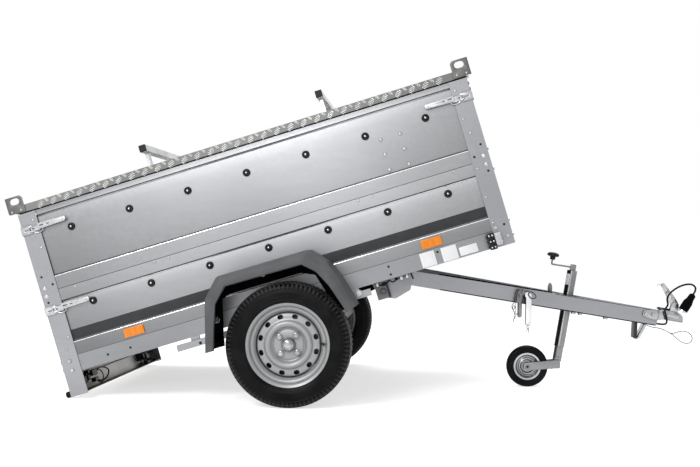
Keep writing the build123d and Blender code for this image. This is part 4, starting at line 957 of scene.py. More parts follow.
def latch(bm, place):
    """One latch: X runs inboard from the post's edge, Y up, Z out of the side."""
    strap = rounded([(-3.5, -20, 1), (44, -20, 3), (50, -13, 3), (50, 13, 3), (44, 20, 3), (-3.5, 20, 1)], 3)
    cut_plate(bm, strap, 0.3, 2.6, place, (oblong(20, 0, 6, 3.2),), soften=0.4)
    block(bm, (-4.5, -20, -11), (-2.2, 20, 2.6), place)
    for y in (-19, 19):
        block(bm, (0, y - 1.2, 2.2), (43, y + 1.2, 4.6), place, soften=0.5)
    bent_rod(bm, [(46, -14, 4.5), (46, 14, 4.5)], 2.6, place, smooth=False)
    cut_plate(bm, rounded([(40, -12, 4), (84, -12, 2), (84, 12, 2), (40, 12, 4)], 3), 5.2, 7.2, place,
              (oblong(54, 0, 3, 3.0),), soften=0.4)
    for y in (-11.5, 11.5):
        block(bm, (44, y - 1.0, 0.3), (84, y + 1.0, 8.5), place, soften=0.4)
    bent_rod(bm, [(50, 11, 7), (38, 10, 9.5), (34, 4, 10), (34, -4, 10), (38, -10, 9.5), (50, -11, 7)], 2.0, place)
    bent_rod(bm, [(52, -13, 5), (62, -21, 4), (80, -22, 4), (92, -16, 5), (94, -8, 6)], 2.2, place)
    lever = rounded([(76, -8, 2), (206, -5, 9), (206, 15, 9), (76, 17, 2)], 5)
    cut_plate(bm, lever, 9.0, 10.8, place, (oblong(94, 6, 8, 2.6), oblong(122, 5, 5, 2.2)), soften=0.4)
    for y0, y1 in ((-8, -5), (17, 15)):
        side = 1 if y0 < 0 else -1
        bent_rod(bm, [(78, y0 + side, 9.6), (140, (y0 + y1) / 2 + side, 10.4), (198, y1 + side, 10.4)], 1.5, place,
                 smooth=False)
    turned(bm, [(0, 10.6), (3.6, 10.6), (3.2, 11.9), (0, 12.4)], place @ moved(192, 5, 0), steps=12)
    turned(bm, [(0, 10.6), (3.2, 10.6), (2.8, 11.7), (0, 12.0)], place @ moved(148, 5, 0), steps=12)


bm = bmesh.new()
for u, inboard, w in LATCHES:
    place = on_side(u, w, HALF_W) @ Matrix.Diagonal((inboard, 1, 1, 1))
    latch(bm, place)
give(bm, "toggle_latches", LATCH_ZINC, ("latches",), twin=True, crease=28)

# %% [markdown]
# ## Things in a ring
# Tread blocks, vents and wheel bolts all repeat round an axle. A third node tree copies one item round Z,
# so an item is drawn once at its own radius. The item sits at the first place, on the local X axis.

# %% The ring tree
rings, RING_KEYS = new_tree("ring", Item="Object", Count="Int", Start_angle="Float")
given = node_at(rings, "NodeGroupInput").outputs
points = node_at(rings, "GeometryNodePoints", Count=given["Count"])
index = node_at(rings, "GeometryNodeInputIndex").outputs[0]
share = math_node(rings, "DIVIDE", index, given["Count"])
angle = math_node(rings, "MULTIPLY_ADD", share, 2 * math.pi, given["Start angle"])
copier(rings, "Item", points.outputs[0], node_at(rings, "ShaderNodeCombineXYZ", Z=angle).outputs[0])


def around(bm, item_bm, count, name, crease=32, start=0.0):
    """Closes an item and adds copies of it round the local Z axis."""
    item = as_object(item_bm, name, crease)
    grow(bm, HERE, rings, RING_KEYS, Item=item, Count=count, Start_angle=math.radians(start), Finish=BRIGHT_ZINC)
    bpy.data.objects.remove(item)


SKEW_REACH = 60                         # height in millimetres over which a skew adds up


def wedge(bm, outline, degrees, skew=0.0):
    """Solid between two angles about Z; outline is (radius, height), skew turns its second end on."""
    ends = []
    for a, lean in ((-degrees / 2, -skew), (degrees / 2, skew)):
        row = []
        for r, h in outline:
            b = math.radians(a + lean * h / SKEW_REACH)
            row.append(bm.verts.new((r * math.cos(b), r * math.sin(b), h)))
        ends.append(row)
    loft(bm, ends)


def mirror_copy(piece, name):
    """The same piece on the other side of the centreline."""
    mesh = piece.data.copy()
    mesh.transform(Matrix.Diagonal((1, -1, 1, 1)))
    mesh.flip_normals()
    return in_scene(name, mesh)


def both_wheels(bm, name, finish, what="", crease=32):
    """Gives a right wheel piece and its mirrored copy to the two wheels; what names the solids."""
    piece = as_object(bm, name, crease)
    piece.data.transform(ON_WHEEL)
    left = mirror_copy(piece, piece.name + "_left")
    piece.name += "_right"
    for copy, side in ((piece, "right"), (left, "left")):
        stands_for = (f"{what}_{side}",) if what else ()
        hand_over(copy, WHEEL, finish, f"wheel_{side}", stands_for)


# %% [markdown]
# ## Road wheels
# The tyre is a turned carcass with separate tread blocks in five ribs, because the grooves between them
# are what the eye reads as tread. The shoulder blocks reach down over the sidewall.

# %% Tyres
WHEEL_OUT = 685                         # wheel centre from the centreline
ON_WHEEL = moved(0, -WHEEL_OUT, 0) @ SIDE
TREAD_BLOCKS = 84
half = [(259, 0), (259, 56), (255, 61), (250, 66), (247, 69), (244, 70.2), (240, 71.5), (238.6, 72.8), (236, 73.2),
        (234.6, 72.6), (228, 73.8), (221, 74.9), (214, 75), (207, 74.7), (205.4, 75.0), (203, 74.8), (201.6, 73.6),
        (196, 72.6), (192, 71.4), (190.5, 71.8), (188, 71.0), (186.6, 69.8), (181, 67.4), (178.5, 65.8), (177, 62),
        (171, 58), (165, 56), (165, 50)]
section = half + [(r, -h) for r, h in reversed(half[1:])]
bm = bmesh.new()
turned(bm, section, steps=96, closed=True)
item_bm = bmesh.new()
pitch = 360 / TREAD_BLOCKS
for low, high in ((-9, 9), (13.5, 31), (-31, -13.5)):
    wedge(item_bm, [(257, low), (257, high), (265.6, high - 1), (266.2, (low + high) / 2), (265.6, low + 1)],
          pitch * 0.80, skew=1.6)
for s in (1, -1):
    wedge(item_bm, [(257, 36 * s), (257, 54 * s), (264.3, 53 * s), (265.4, 37 * s)], pitch * 0.78, skew=1.0)
    wedge(item_bm, [(255, 50 * s), (246, 68 * s), (250.5, 68.6 * s), (257.5, 63.5 * s), (262.5, 58 * s),
                    (264.3, 53 * s)], pitch * 0.55)
both_wheels(bm, "road_tyre", TYRE_RUBBER, "tyre", crease=24)
bm = bmesh.new()
around(bm, item_bm, TREAD_BLOCKS, "tread_block", 20)
item_bm = bmesh.new()
wedge(item_bm, [(237, 71.6), (251, 64.4), (252, 66.8), (238, 73.4)], 0.9)
around(bm, item_bm, TREAD_BLOCKS, "sidewall_mark", 20)
both_wheels(bm, "tread_blocks", TREAD_RUBBER, crease=24)

# %% Rims
VENTS, VENT_AT, VENT_START = 12, 121, 17
BOLTS, BOLT_AT, BOLT_START = 4, 50, 50
barrel = [(176.5, 63), (179, 64.6), (181.4, 65), (182.5, 63.6), (181.8, 61.6), (178.5, 60.4), (171, 57.6),
          (168, 55.6), (167, 53), (166.8, 37), (160, 30), (147, 22.5), (142.5, 18.5), (142, 14), (142, -11),
          (144, -16), (151, -21), (166, -34), (166.5, -54), (170, -58), (178, -60.4), (182, -62), (182.4, -64),
          (180, -65), (175, -62.6), (166.5, -59.5), (163.5, -55), (163, -36), (148, -23.5), (140, -17.5),
          (138.6, -12), (138.6, 18.5), (139, 27), (142, 34), (146, 36.5), (147.5, 40), (152, 43), (158, 44),
          (160, 46.5), (163.4, 52.5), (165, 56.6), (170, 60)]
disc = [(29.5, 31), (36, 31.4), (58, 31.4), (62, 30), (65, 29), (69, 30.6), (74, 36), (79, 41.8), (85, 45.4), (90, 46),
        (95, 44.8), (100, 41), (103.5, 37), (105.5, 35.6), (112, 34.6), (118, 34.4), (128, 33.4), (132, 31.4),
        (135, 27), (137, 19), (137.2, 8), (134, 8), (133.4, 18), (131, 25), (128, 28.6), (117, 30.6), (108, 31.4),
        (101, 34), (95, 40), (90, 42), (84, 41), (76, 34), (70, 27), (64, 25.6), (29.5, 27)]
bm = bmesh.new()
turned(bm, disc, steps=96, closed=True)
plate_piece = as_object(bm, "disc")
cutter_bm = bmesh.new()
for k in range(VENTS):
    a = 2 * math.pi * k / VENTS + math.radians(VENT_START)
    hole = oblong(VENT_AT * math.cos(a), VENT_AT * math.sin(a), 3.2, 9.6, math.degrees(a) + 90)
    cut_plate(cutter_bm, hole, 10, 60, soften=0.1)
cutter = as_object(cutter_bm, "vents")
carve = plate_piece.modifiers.new("vents", "BOOLEAN")
carve.operation, carve.object, carve.solver = "DIFFERENCE", cutter, "EXACT"
settle(plate_piece)
bpy.data.objects.remove(cutter)
bm = bmesh.new()
bm.from_mesh(plate_piece.data)
bpy.data.objects.remove(plate_piece)
turned(bm, barrel, steps=96, closed=True)
item_bm = bmesh.new()
turned(item_bm, [(0, 30), (16, 30), (14.5, 34), (12, 35.6), (0, 35.6)], moved(BOLT_AT, 0, 0), steps=20)
around(bm, item_bm, BOLTS, "bolt_pad", start=BOLT_START)
both_wheels(bm, "rim_pressed", WHEEL_PAINT, "rim", crease=40)
# A dark disc behind the vents is painted shade, so that the vents read dark.
bm = bmesh.new()
turned(bm, [(41, 4), (128, 4), (137, 1), (137, -10), (41, -10)], steps=64, closed=True)
both_wheels(bm, "drum_plate", PAINTED_SHADE_ZINC)

# %% Hubs, caps, bolts and valves
HUB_FACE = 30
bm = bmesh.new()
cap = [(0, 25), (14, 24.6), (17, 23.6), (18.6, 26), (21, 25), (26, 19), (30, 10), (31, 5), (31, 2), (0, 2)]
turned(bm, [(r, HUB_FACE + h) for r, h in cap], steps=48)
item_bm = bmesh.new()
bolt_place = moved(BOLT_AT, 0, 0)
turned(item_bm, [(0, 36), (11, 36), (11, 37.6), (9.4, 38.4), (0, 38.4)], bolt_place, steps=20)
turned(item_bm, [(0, 38), (9.8, 38), (9.8, 43.4), (8.4, 44.5), (0, 44.5)], bolt_place, steps=6)
around(bm, item_bm, BOLTS, "wheel_bolt", 25, BOLT_START)
both_wheels(bm, "hub_cap", HUB_ZINC, crease=28)
bm = bmesh.new()
turned(bm, [(15.5, 29.5), (66, 29.5), (66, 21), (44, 20), (40, 16), (40, -80), (15.5, -80)], steps=40, closed=True)
both_wheels(bm, "hub_barrel", DULL_ZINC, "hub")
bm = bmesh.new()
bent_rod(bm, [(139, 5, 22), (147, 5, 40), (151, 5, 54)], 4.6, sides=3)
bent_rod(bm, [(150.6, 5, 50), (151.6, 5, 60)], 5.4, smooth=False, sides=3)
both_wheels(bm, "valve", BLACK_PLASTIC)

# %% [markdown]
# ## Mudguards
# A moulded strip bent round the wheel in flats. Its section has a crown, a rounded edge and a broad face
# that turns in to a rolled lip, lofted along the outer and the inner outline together.

# %% Mudguards and their bolts
GUARD = [(-344, 66), (-281, 283), (-211, 357), (-198, 361), (192, 360), (259, 292), (290, 208), (326, 78)]
GUARD_LIP = [(-302, 66), (-276, 149), (-240, 250), (-179, 311), (155, 307), (205, 260), (240, 190), (279, 66)]
# share of the way from outline to lip, millimetres more, distance out
GUARD_SECTION = [(0, 0, 600), (0, 0, 746), (0, 1.4, 751), (0, 4, 755), (0.46, -4, 768.4), (0.46, 0, 770),
                 (0.46, 4, 771), (1, -7, 772), (1, -3, 771), (1, -0.4, 767), (1, 0.8, 761), (1, -1.6, 761),
                 (1, -3, 766), (1, -6, 768), (0.46, 4, 767), (0, 9, 753), (0, 5, 749), (0, 3.5, 745), (0, 3.5, 600)]


def bent(points, radius):
    """Open outline with its inner corners rounded."""
    radii = [0] + [radius] * (len(points) - 2) + [0]
    return rounded([(x, y, r) for (x, y), r in zip(points, radii)], 4)


bm = bmesh.new()
stations = []
for (u, w), (v, z) in zip(bent(GUARD, 16), bent(GUARD_LIP, 10)):
    reach = Vector((v - u, z - w))
    way = reach.normalized()
    row = []
    for part, extra, y in GUARD_SECTION:
        d = part * reach.length + extra
        row.append(bm.verts.new((u + way.x * d, -y, w + way.y * d)))
    stations.append(row)
loft(bm, stations)
give(bm, "mudguards", GUARD_PLASTIC, ("mudguard_right", "mudguard_left"), twin=True,
     crease=18)
# mounting flange inside the crown, against the bars, in black as painted shade under the crown
SHADE_FLANGE_LIP = [(-290, 66), (-272, 149), (-243, 262), (-205, 276), (120, 276), (178, 250), (206, 150), (226, 66)]
bm = bmesh.new()
cut_plate(bm, bent(GUARD, 16) + bent(SHADE_FLANGE_LIP, 10)[::-1], 596, 600, SIDE, soften=0.8)
give(bm, "mudguard_flanges", MATT_BLACK, twin=True)
fasten("mudguard_bolts", hex_small, side_points(600, [(-292, 183), (-40, 322), (336, 120)]), BRIGHT_ZINC, size=1.6)
fasten("guard_bar_holes", plug_cap, side_points(600, [(-389, 108)]), BLACK_PLASTIC, size=1.3)

# %% [markdown]
# ## Lamps and tail
# The rear lamps are black housings with a red and an amber half, on a folded board between the rails.
# The wiring shows under the box: a connector behind each lamp and a loom that droops between them.

# %% Rear lamps
LAMP_Y, LAMP_W, LAMP_FACE = (385, 505), (62, 132), -1014.5
LAMP_OUT = 26
TO_REAR = spun(-math.pi / 2) @ SIDE     # local Z backwards, X to the left, Y up


def lamp_outline(inset, x0, x1):
    """Rounded outline of a lamp part, its X measured from the centreline."""
    r = 7 - inset
    return rect(x0 + inset, LAMP_W[0] + inset, x1 - inset, LAMP_W[1] - inset, r)


mid = (LAMP_Y[0] + LAMP_Y[1]) / 2
face_z = -LAMP_FACE
bm = bmesh.new()
cut_plate(bm, lamp_outline(0, -LAMP_Y[1], -LAMP_Y[0]), face_z, face_z + 9, TO_REAR, soften=1.0)
block(bm, (LAMP_FACE, -490, 74), (LAMP_FACE + 22, -400, 120), soften=2)
for y in (-470, -420):
    block(bm, (LAMP_FACE + 20, y - 14, 82), (LAMP_FACE + 40, y + 14, 108), soften=1.5)
give(bm, "rear_lamp_backs", BLACK_PLASTIC, ("rear_lamps",), twin=True)
for name, x0, x1, glass, slot in (("rear_lamp_red", -LAMP_Y[1], -mid + 12, RED_LENS, "red_lens"),
                                  ("rear_lamp_amber", -mid + 12, -LAMP_Y[0], AMBER_LENS, "amber_lens")):
    bm = bmesh.new()
    cut_plate(bm, lamp_outline(2, x0, x1), face_z + 8.5, face_z + LAMP_OUT, TO_REAR, soften=2.5)
    give(bm, name, glass, twin=True)

# %% Loom behind the light board
bm = bmesh.new()
for y0, sign in ((-330, 1), (590, -1)):
    for low, high in (((-996, y0 - 62, 96), (-968, y0 + 4, 124)), ((-992, y0 - 40, 66), (-970, y0 + 6, 86)),
                      ((-994, y0 - 96, 112), (-974, y0 - 62, 130))):
        if sign < 0:
            low, high = (low[0], y0 - 150, low[2] - 24), (high[0], y0 - 84, high[2] - 24)
        block(bm, low, high, soften=3)
    loop = [(0, 112), (60, 122), (125, 118), (190, 96), (150, 68), (80, 58), (10, 66), (-40, 78)]
    bent_rod(bm, [(-978, y0 + sign * x, w - (14 if sign < 0 else 0)) for x, w in loop], 3.6)
    bent_rod(bm, [(-974, y0 + sign * x * 0.45, w - (20 if sign < 0 else 6)) for x, w in loop], 2.6)
bent_rod(bm, [(-975, y, 122 - (4 if k % 2 else 0)) for k, y in enumerate((-330, -180, -40, 100, 240, 400, 470))], 2.6)
give(bm, "rear_loom", LEAD_BLACK)

# %% Loom and clips under the right rail
bm = bmesh.new()
droops = [(424, 140), (430, 122), (440, 126), (452, 134), (466, 124), (476, 138), (488, 121), (502, 128), (516, 132),
          (534, 136), (548, 134), (566, 138)]
bent_rod(bm, [(u, -556, w) for u, w in droops], 3)
bent_rod(bm, [(575, -560, 140), (576, -560, 126), (579, -560, 112)], 3.4, smooth=False)
block(bm, (440, -566, 118), (462, -548, 134), soften=2)
block(bm, (500, -566, 126), (514, -548, 139), soften=2)
give(bm, "rail_loom", LEAD_BLACK)
bm = bmesh.new()
for u in (421, 530, 556):
    cut_plate(bm, oblong(u, 131, 4, 5, 80), 556, 560, SIDE, soften=1)
give(bm, "rail_clips", BRIGHT_ZINC)

# %% Painted shade lines at the tip pivots
bm = bmesh.new()
block(bm, (449.5, -409, 58), (454.5, -402, 112))
turned(bm, [(9.6, -1), (11.8, -1), (11.8, 1), (9.6, 1)], moved(429, -408, 92) @ SIDE, steps=28, closed=True)
give(bm, "pivot_marks", PAINTED_SHADE_ZINC, twin=True)

# %% Tail buffers, ribbed rubber
bm = bmesh.new()
ribs = [(0, 27), (9, 27), (12, 25)]
for k in range(6):
    z = 23 - 3.4 * k
    ribs += [(14, z), (14, z - 1.7), (12.2, z - 2.2), (12.2, z - 3.0)]
ribs += [(14, 0), (0, 0)]
turned(bm, ribs, moved(TAIL_U, -561, 51.5) @ TO_REAR, steps=24)
give(bm, "ribbed_buffers", SOFT_RUBBER, ("tail_buffers",), twin=True)

# %% Front marker lamps
bm = bmesh.new()
housing = rounded([(931, 136, 5), (961, 136, 3), (961, 206, 3), (931, 206, 5)])
cut_plate(bm, housing, 0, 47, on_side(0, 0, SIDE_OUT), soften=1.5)
for w in (150, 171, 192):
    block(bm, (926, -618, w - 4), (933, -592, w + 4), soften=1)
give(bm, "front_lamp_housings", BLACK_PLASTIC, ("front_lamp_bases",), twin=True)
lamp_screws = side_points(630, [(u, w) for u in (939, 953) for w in (146, 171, 196)])
fasten("front_lamp_screws", rivet, lamp_screws, BRIGHT_ZINC, size=0.7)
bm = bmesh.new()
TO_FRONT = spun(math.pi / 2) @ SIDE     # local Z forwards, X to the left of it, Y up
cut_plate(bm, rect(-627, 148, -590, 202, 9), 961, 990, TO_FRONT, soften=5)
give(bm, "front_lamp_glass", CLEAR_LENS, ("front_lamp_lenses",), twin=True)

# %% [markdown]
# ## Coupling and its handle
# The head is pressed steel: two cheeks clamp the tips of the arms, and the cup is one domed shell that
# narrows to a rounded nose. The shell is a loft of arches, so that it swells over the ball.

# %% Coupling head
ARM_OUT0, ARM_S0, ARM_SLANT = 343, 112, 0.25797
ARM_TURN = math.atan(ARM_SLANT)


def arm_out(s):
    """Distance of the arm's outer face from the centreline."""
    return ARM_OUT0 - ARM_SLANT * (s - ARM_S0)


# station, half width, top, foot
CUP = [(1294, 26, 110, 82), (1304, 29, 120, 81), (1322, 30, 126, 80), (1360, 31, 128, 79), (1384, 33, 127, 79),
       (1402, 33, 124, 79), (1414, 31, 119, 79), (1423, 26, 112, 80), (1428, 18, 104, 82), (1430, 8, 96, 84)]
ARCH_STEPS, ARCH_POWER = 14, 0.62       # a power below 1 squares the arch's shoulders
bm = bmesh.new()
shells = []
for inset in (0, 3.2):
    rows = []
    for s, half_wide, top, foot in CUP:
        row = []
        for k in range(ARCH_STEPS + 1):
            a = math.pi * k / ARCH_STEPS
            c, d = math.cos(a), math.sin(a)
            y = (half_wide - inset) * math.copysign(abs(c) ** ARCH_POWER, c)
            row.append(bm.verts.new((s - inset, y, foot + (top - inset - foot) * d ** ARCH_POWER)))
        rows.append(row)
    shells.append(rows)
outer, inner = shells
for rows in (outer, inner):
    for a, b in zip(rows, rows[1:]):
        for k in range(ARCH_STEPS):
            bm.faces.new((a[k], a[k + 1], b[k + 1], b[k]))
for rims in ((outer[0], inner[0]), (outer[-1], inner[-1])):
    for k in range(ARCH_STEPS):
        bm.faces.new((rims[0][k], rims[1][k], rims[1][k + 1], rims[0][k + 1]))
for end in (0, -1):
    for a, b, c, d in zip(outer, outer[1:], inner[1:], inner):
        bm.faces.new((a[end], b[end], c[end], d[end]))
foot_edge = [(s, -h - 1, f + 1) for s, h, _, f in CUP] + [(s, h + 1, f + 1) for s, h, _, f in reversed(CUP)]
bent_rod(bm, foot_edge, 2.3)
for side in (1, -1):
    flip = Matrix.Diagonal((1, side, 1, 1))
    tip = flip @ moved(1304, -36.5, 0) @ spun(ARM_TURN) @ SIDE
    cheek = rounded([(-80, 82, 11), (-40, 74, 14), (0, 71, 0), (0, 118, 0), (-40, 114, 14), (-80, 106, 11)])
    cut_plate(bm, cheek, -0.5, 3, tip, soften=0.7)
    bent_rod(bm, [(x, y, 2.6) for x, y in cheek], 1.7, tip, smooth=False)
    front_cheek = rounded([(0, 71, 0), (34, 80, 8), (44, 98, 12), (34, 122, 8), (0, 118, 0)])
    cut_plate(bm, front_cheek, -1, 3, flip @ moved(1303, -36, 0) @ SIDE, soften=0.7)
    boss = oblong(0, 0, 24, 9, -3)
    cut_plate(bm, boss, -2, 4, flip @ moved(1372, -31, 103) @ SIDE, soften=2.6)
    for x, y in ((-65, 94), (-28, 95)):
        place = tip @ moved(x, y, 3)
        turned(bm, drum(9.5, 1.4), place, steps=20)
        turned(bm, [(0, 1.2), (7.6, 1.2), (7.6, 4.6), (6.4, 5.4), (0, 5.4)], place, steps=6)
    ear = rounded([(1360, 122, 0), (1400, 122, 0), (1397, 168, 10), (1366, 168, 10)])
    cut_plate(bm, ear, 12, 16, flip @ SIDE, soften=0.6)
    turned(bm, [(0, 0), (6.5, 0), (6.5, 2.2), (0, 3)], flip @ moved(1380, -16, 158) @ SIDE, steps=14)
bent_rod(bm, [(1380, -17, 158), (1380, 17, 158)], 4, smooth=False, sides=3)
give(bm, "coupling_shell", CUP_ZINC, ("coupling_head",), body="drawbar", crease=36)

bm = bmesh.new()
block(bm, (1304, -11, 127), (1378, 11, 134), soften=2.5)
block(bm, (1302, -15, 124), (1316, 15, 133), soften=2.5)
give(bm, "coupling_band", BLACK_PLASTIC, body="drawbar")

# %% Coupling handle
LEVER_ANGLE = math.atan2(84, -72)
LEVER = moved(1380, 0, 158) @ spun(-LEVER_ANGLE, "Y")  # local X up the lever
bm = bmesh.new()
for y0, y1 in ((-10.5, -8), (8, 10.5)):
    outline = rounded([(-12, -16, 12), (28, -19, 8), (116, -9, 4), (113, 7, 3), (28, 14, 8), (-12, 16, 12)])
    slots = (oblong(46, -3, 10, 3.4, 6), oblong(82, -2, 9, 3.0, 6))
    cut_plate(bm, outline, -y1, -y0, LEVER @ SIDE, slots, soften=0.4)
back = framed((20, 0, -18.6), (88, 0, 9.6), (0, 1, 0))
cut_plate(bm, rect(0, -10, 98, 10, 2), 0, 2.6, LEVER @ back,
          (oblong(34, 0, 13, 4), oblong(72, 0, 9, 4)), soften=0.5)
tip_plate = framed((113, 0, -9), (0, 1, 0), (8, 0, 31))
tip_outline = rounded([(-10.5, 0, 0), (10.5, 0, 0), (8.5, 35, 5), (-8.5, 35, 5)])
cut_plate(bm, tip_outline, 0, 2.6, LEVER @ tip_plate, soften=0.5)
turned(bm, drum(8.6, 21), LEVER @ moved(0, 10.5, 0) @ SIDE, steps=20)
give(bm, "lever_pressed", CUP_ZINC, ("coupling_handle",), body="coupling_handle")

# %% [markdown]
# ## Tip lock and its strap
# A small lock on the right arm holds the lowered box. Its pin and strap hang free, each secured with a
# bent wire clip.

# %% Lock, pin and strap
LOCK_S = 618
ON_ARM = moved(LOCK_S, -arm_out(LOCK_S), 0) @ spun(ARM_TURN)
ARM_FACE = ON_ARM @ SIDE                # local X along the arm, Y up, Z outwards
PLUMB = spun(BAR_SLOPE)                 # turns a piece on the arm's face until it hangs straight


def hanging(x, y):
    """Place on the arm's face for a piece that hangs plumb from a point."""
    return ARM_FACE @ moved(x, y, 0) @ PLUMB


bm = bmesh.new()
foot_plate = rounded([(-17, 48, 4), (22, 48, 4), (24, 96, 7), (18, 113, 9), (-8, 112, 9), (-18, 98, 7)])
cut_plate(bm, foot_plate, 0, 4, ARM_FACE)
outer_plate = rounded([(-16, 52, 7), (6, 46, 7), (9, 98, 8), (2, 112, 8), (-8, 110, 8), (-16, 98, 8)])
cut_plate(bm, outer_plate, 20, 24, ARM_FACE, (oblong(-5, 84, 0, 5.5),))
cut_plate(bm, rounded([(6, 88, 4), (24, 86, 4), (22, 113, 6), (8, 113, 6)]), 14, 18, ARM_FACE, soften=0.8)
for y0, y1 in ((52, 57), (98, 103)):
    block(bm, (-12, y0, 3), (4, y1, 21), ARM_FACE, soften=1)
turned(bm, [(0, 2), (9, 2), (9, 25), (7, 27), (0, 27)], ARM_FACE @ moved(10, 98, 0), steps=20)
turned(bm, [(0, 18), (5, 18), (5, 28), (4, 29), (0, 29)], ARM_FACE @ moved(-5, 84, 0), steps=16)
PIN = hanging(4, 52) @ spun(math.pi / 2, "X") @ moved(0, 14, 0)
turned(bm, [(0, 0), (9, 0), (10.5, 2), (10.5, 62), (9.4, 67), (6, 71), (0, 72)], PIN, steps=24)
turned(bm, drum(3.4, 24), hanging(4, -6) @ moved(0, 0, 3), steps=10)
give(bm, "tip_lock_parts", LOCK_GREY, ("tip_lock",), body="drawbar")
# A dark plate just larger than the strap, behind it, is a painted shade outline round the strap.
bm = bmesh.new()
strap_edge = rounded([(-16, -154, 14), (15, -154, 14), (16, -8, 6), (8, 5, 6), (-19, 5, 6), (-20, -18, 6),
                      (-14, -23, 3)])
cut_plate(bm, strap_edge, 17.5, 20.2, hanging(37, 102), (oblong(0, -138, 0.5, 3.6),))
give(bm, "lock_strap_edge", PAINTED_SHADE_ZINC, ("lock_strap",), body="drawbar")
bm = bmesh.new()
strap = rounded([(-14, -152, 13), (13, -152, 13), (14, -8, 5), (6, 3, 5), (-17, 3, 5), (-18, -16, 5), (-12, -22, 3)])
cut_plate(bm, strap, 20, 24, hanging(37, 102), (oblong(0, -138, 0.5, 3.6),), soften=0.5)
block(bm, (22, 86, 0), (48, 100, 22), ARM_FACE, soften=1.2)
give(bm, "lock_strap_plate", STRAP_WHITE, ("lock_strap",), body="drawbar")

# %% Wire clips and the black ring
# points of each bent clip: across, down from its eye, and out of the arm's face
LEFT_CLIP = [(3, 0, 20), (-6, -6, 21), (-13, -17, 22), (-11, -30, 22), (-2, -34, 21), (5, -26, 20), (-1, -14, 20),
             (-9, -22, 21), (-6, -40, 22), (4, -48, 22), (-2, -58, 22), (3, -70, 22), (-4, -78, 22), (-2, -92, 22)]
INNER_CLIP = [(6, 8, 18), (9, -4, 20), (5, -14, 20), (10, -28, 21), (4, -44, 21), (9, -58, 22), (3, -74, 22)]
STRAP_CLIP = [(0, 0, 22), (-3, -9, 23), (-8, -17, 23), (-4, -24, 23), (4, -28, 23), (-1, -36, 23), (1, -45, 23)]
STRAP_CLIP_2 = [(1, -6, 23), (6, -16, 23), (-2, -27, 23), (-9, -36, 23)]
bm = bmesh.new()
for clip, at, r in ((LEFT_CLIP, (-24, 48), 1.7), (INNER_CLIP, (-24, 44), 1.4), (STRAP_CLIP, (60, -38), 1.7),
                    (STRAP_CLIP_2, (60, -38), 1.4)):
    bent_rod(bm, clip, r, hanging(*at))
give(bm, "lock_clips", CLIP_STEEL, body="drawbar")
bm = bmesh.new()
bent_rod(bm, [(40, 106, 25), (50, 110, 26), (74, 94, 27), (72, 82, 27), (56, 76, 27), (40, 86, 26), (34, 96, 25)], 2.2,
         ARM_FACE, closed=True)
give(bm, "lock_ring", BLACK_PLASTIC, body="drawbar")

# %% [markdown]
# ## Jockey wheel
# The crank is a bent rod in a small fork on top of the tube, with a black mushroom knob. The fork below
# is flat bar with a rounded end, and the wheel has a pressed rim and a solid tyre.

# %% Crank and knob
JOCKEY_S, TUBE_TOP, TUBE_R = 872, 237, 24
bm = bmesh.new()
for y0, y1 in ((-14, -10.5), (10.5, 14)):
    cheek = rounded([(-13, 0, 1), (13, 0, 1), (13, 30, 7), (-13, 30, 7)])
    cut_plate(bm, cheek, -y1, -y0, moved(JOCKEY_S, 0, TUBE_TOP) @ SIDE, soften=0.5)
block(bm, (JOCKEY_S + 9, -13, TUBE_TOP), (JOCKEY_S + 13, 13, TUBE_TOP + 28), soften=0.6)
turned(bm, drum(7, 28), moved(JOCKEY_S, 0, TUBE_TOP), steps=20)
bent_rod(bm, [(JOCKEY_S, -14.6, TUBE_TOP + 16), (JOCKEY_S, 14.6, TUBE_TOP + 16)], 5.5, smooth=False, sides=3)
knob_s = JOCKEY_S - 104
bent_rod(bm, [(JOCKEY_S + 4, 0, TUBE_TOP + 16), (JOCKEY_S - 40, 0, TUBE_TOP + 15), (JOCKEY_S - 84, 0, TUBE_TOP + 14),
              (knob_s, 0, TUBE_TOP + 13), (knob_s, 0, TUBE_TOP + 24), (knob_s, 0, TUBE_TOP + 42)], 4.6, sides=3)
give(bm, "crank_rod", TUBE_ZINC, ("jockey_crank",), body="drawbar")
bm = bmesh.new()
turned(bm, [(0, 36), (10, 36), (13, 38), (13, 48), (16, 51), (25, 52.6), (29, 56.5), (29, 61), (26.5, 66), (19, 70),
            (9, 71.6), (0, 72)], moved(knob_s, 0, TUBE_TOP), steps=36)
give(bm, "crank_knob", BLACK_PLASTIC, body="drawbar")

# %% Bands, blank label, and painted shade and highlight strips of the tube
def flank(bm, t0, t1, r, first, last):
    """Strip on the tube's skin between two angles; 180 looks to the rear, 270 to the right."""
    rows, steps = [], 9
    for k in range(steps + 1):
        a = math.radians(first + (last - first) * k / steps)
        rows.append([bm.verts.new((JOCKEY_S + q * math.cos(a), q * math.sin(a), t))
                     for q, t in ((r - 1.8, t0), (r, t0), (r, t1), (r - 1.8, t1))])
    loft(bm, rows)


# foot, top, radius, first and last angle of each strip
SKIN, THIN = TUBE_R + 0.8, TUBE_R + 0.5
# The black strip low on the tube and the two on the leg are painted shade down the rear flank; the lighter strip on the
# right flank is a painted highlight; the two upper bands and the label are the tube's own.
for name, finish, slot, body, strips in (
        ("tube_bands", BLACK_PLASTIC, "black_plastic", "drawbar",
         [(219, 236, SKIN, 150, 246), (112.5, 166, SKIN, 150, 246), (-136, 40, SKIN, 150, 246)]),
        ("tube_label", LABEL_WHITE, "clear_lens", "drawbar", [(166, 219, SKIN, 150, 246)]),
        ("tube_seam", CUP_ZINC, "zinc", "drawbar", [(116, 236, THIN, 250, 264), (-136, 40, THIN, 250, 264)]),
        ("leg_band", MATT_BLACK, "black_plastic", "jockey_leg",
         [(-190, -138, 21.9, 150, 240), (-252, -186, 21.6, 170, 214)])):
    bm = bmesh.new()
    for strip in strips:
        flank(bm, *strip)
    give(bm, name, finish, body=body)

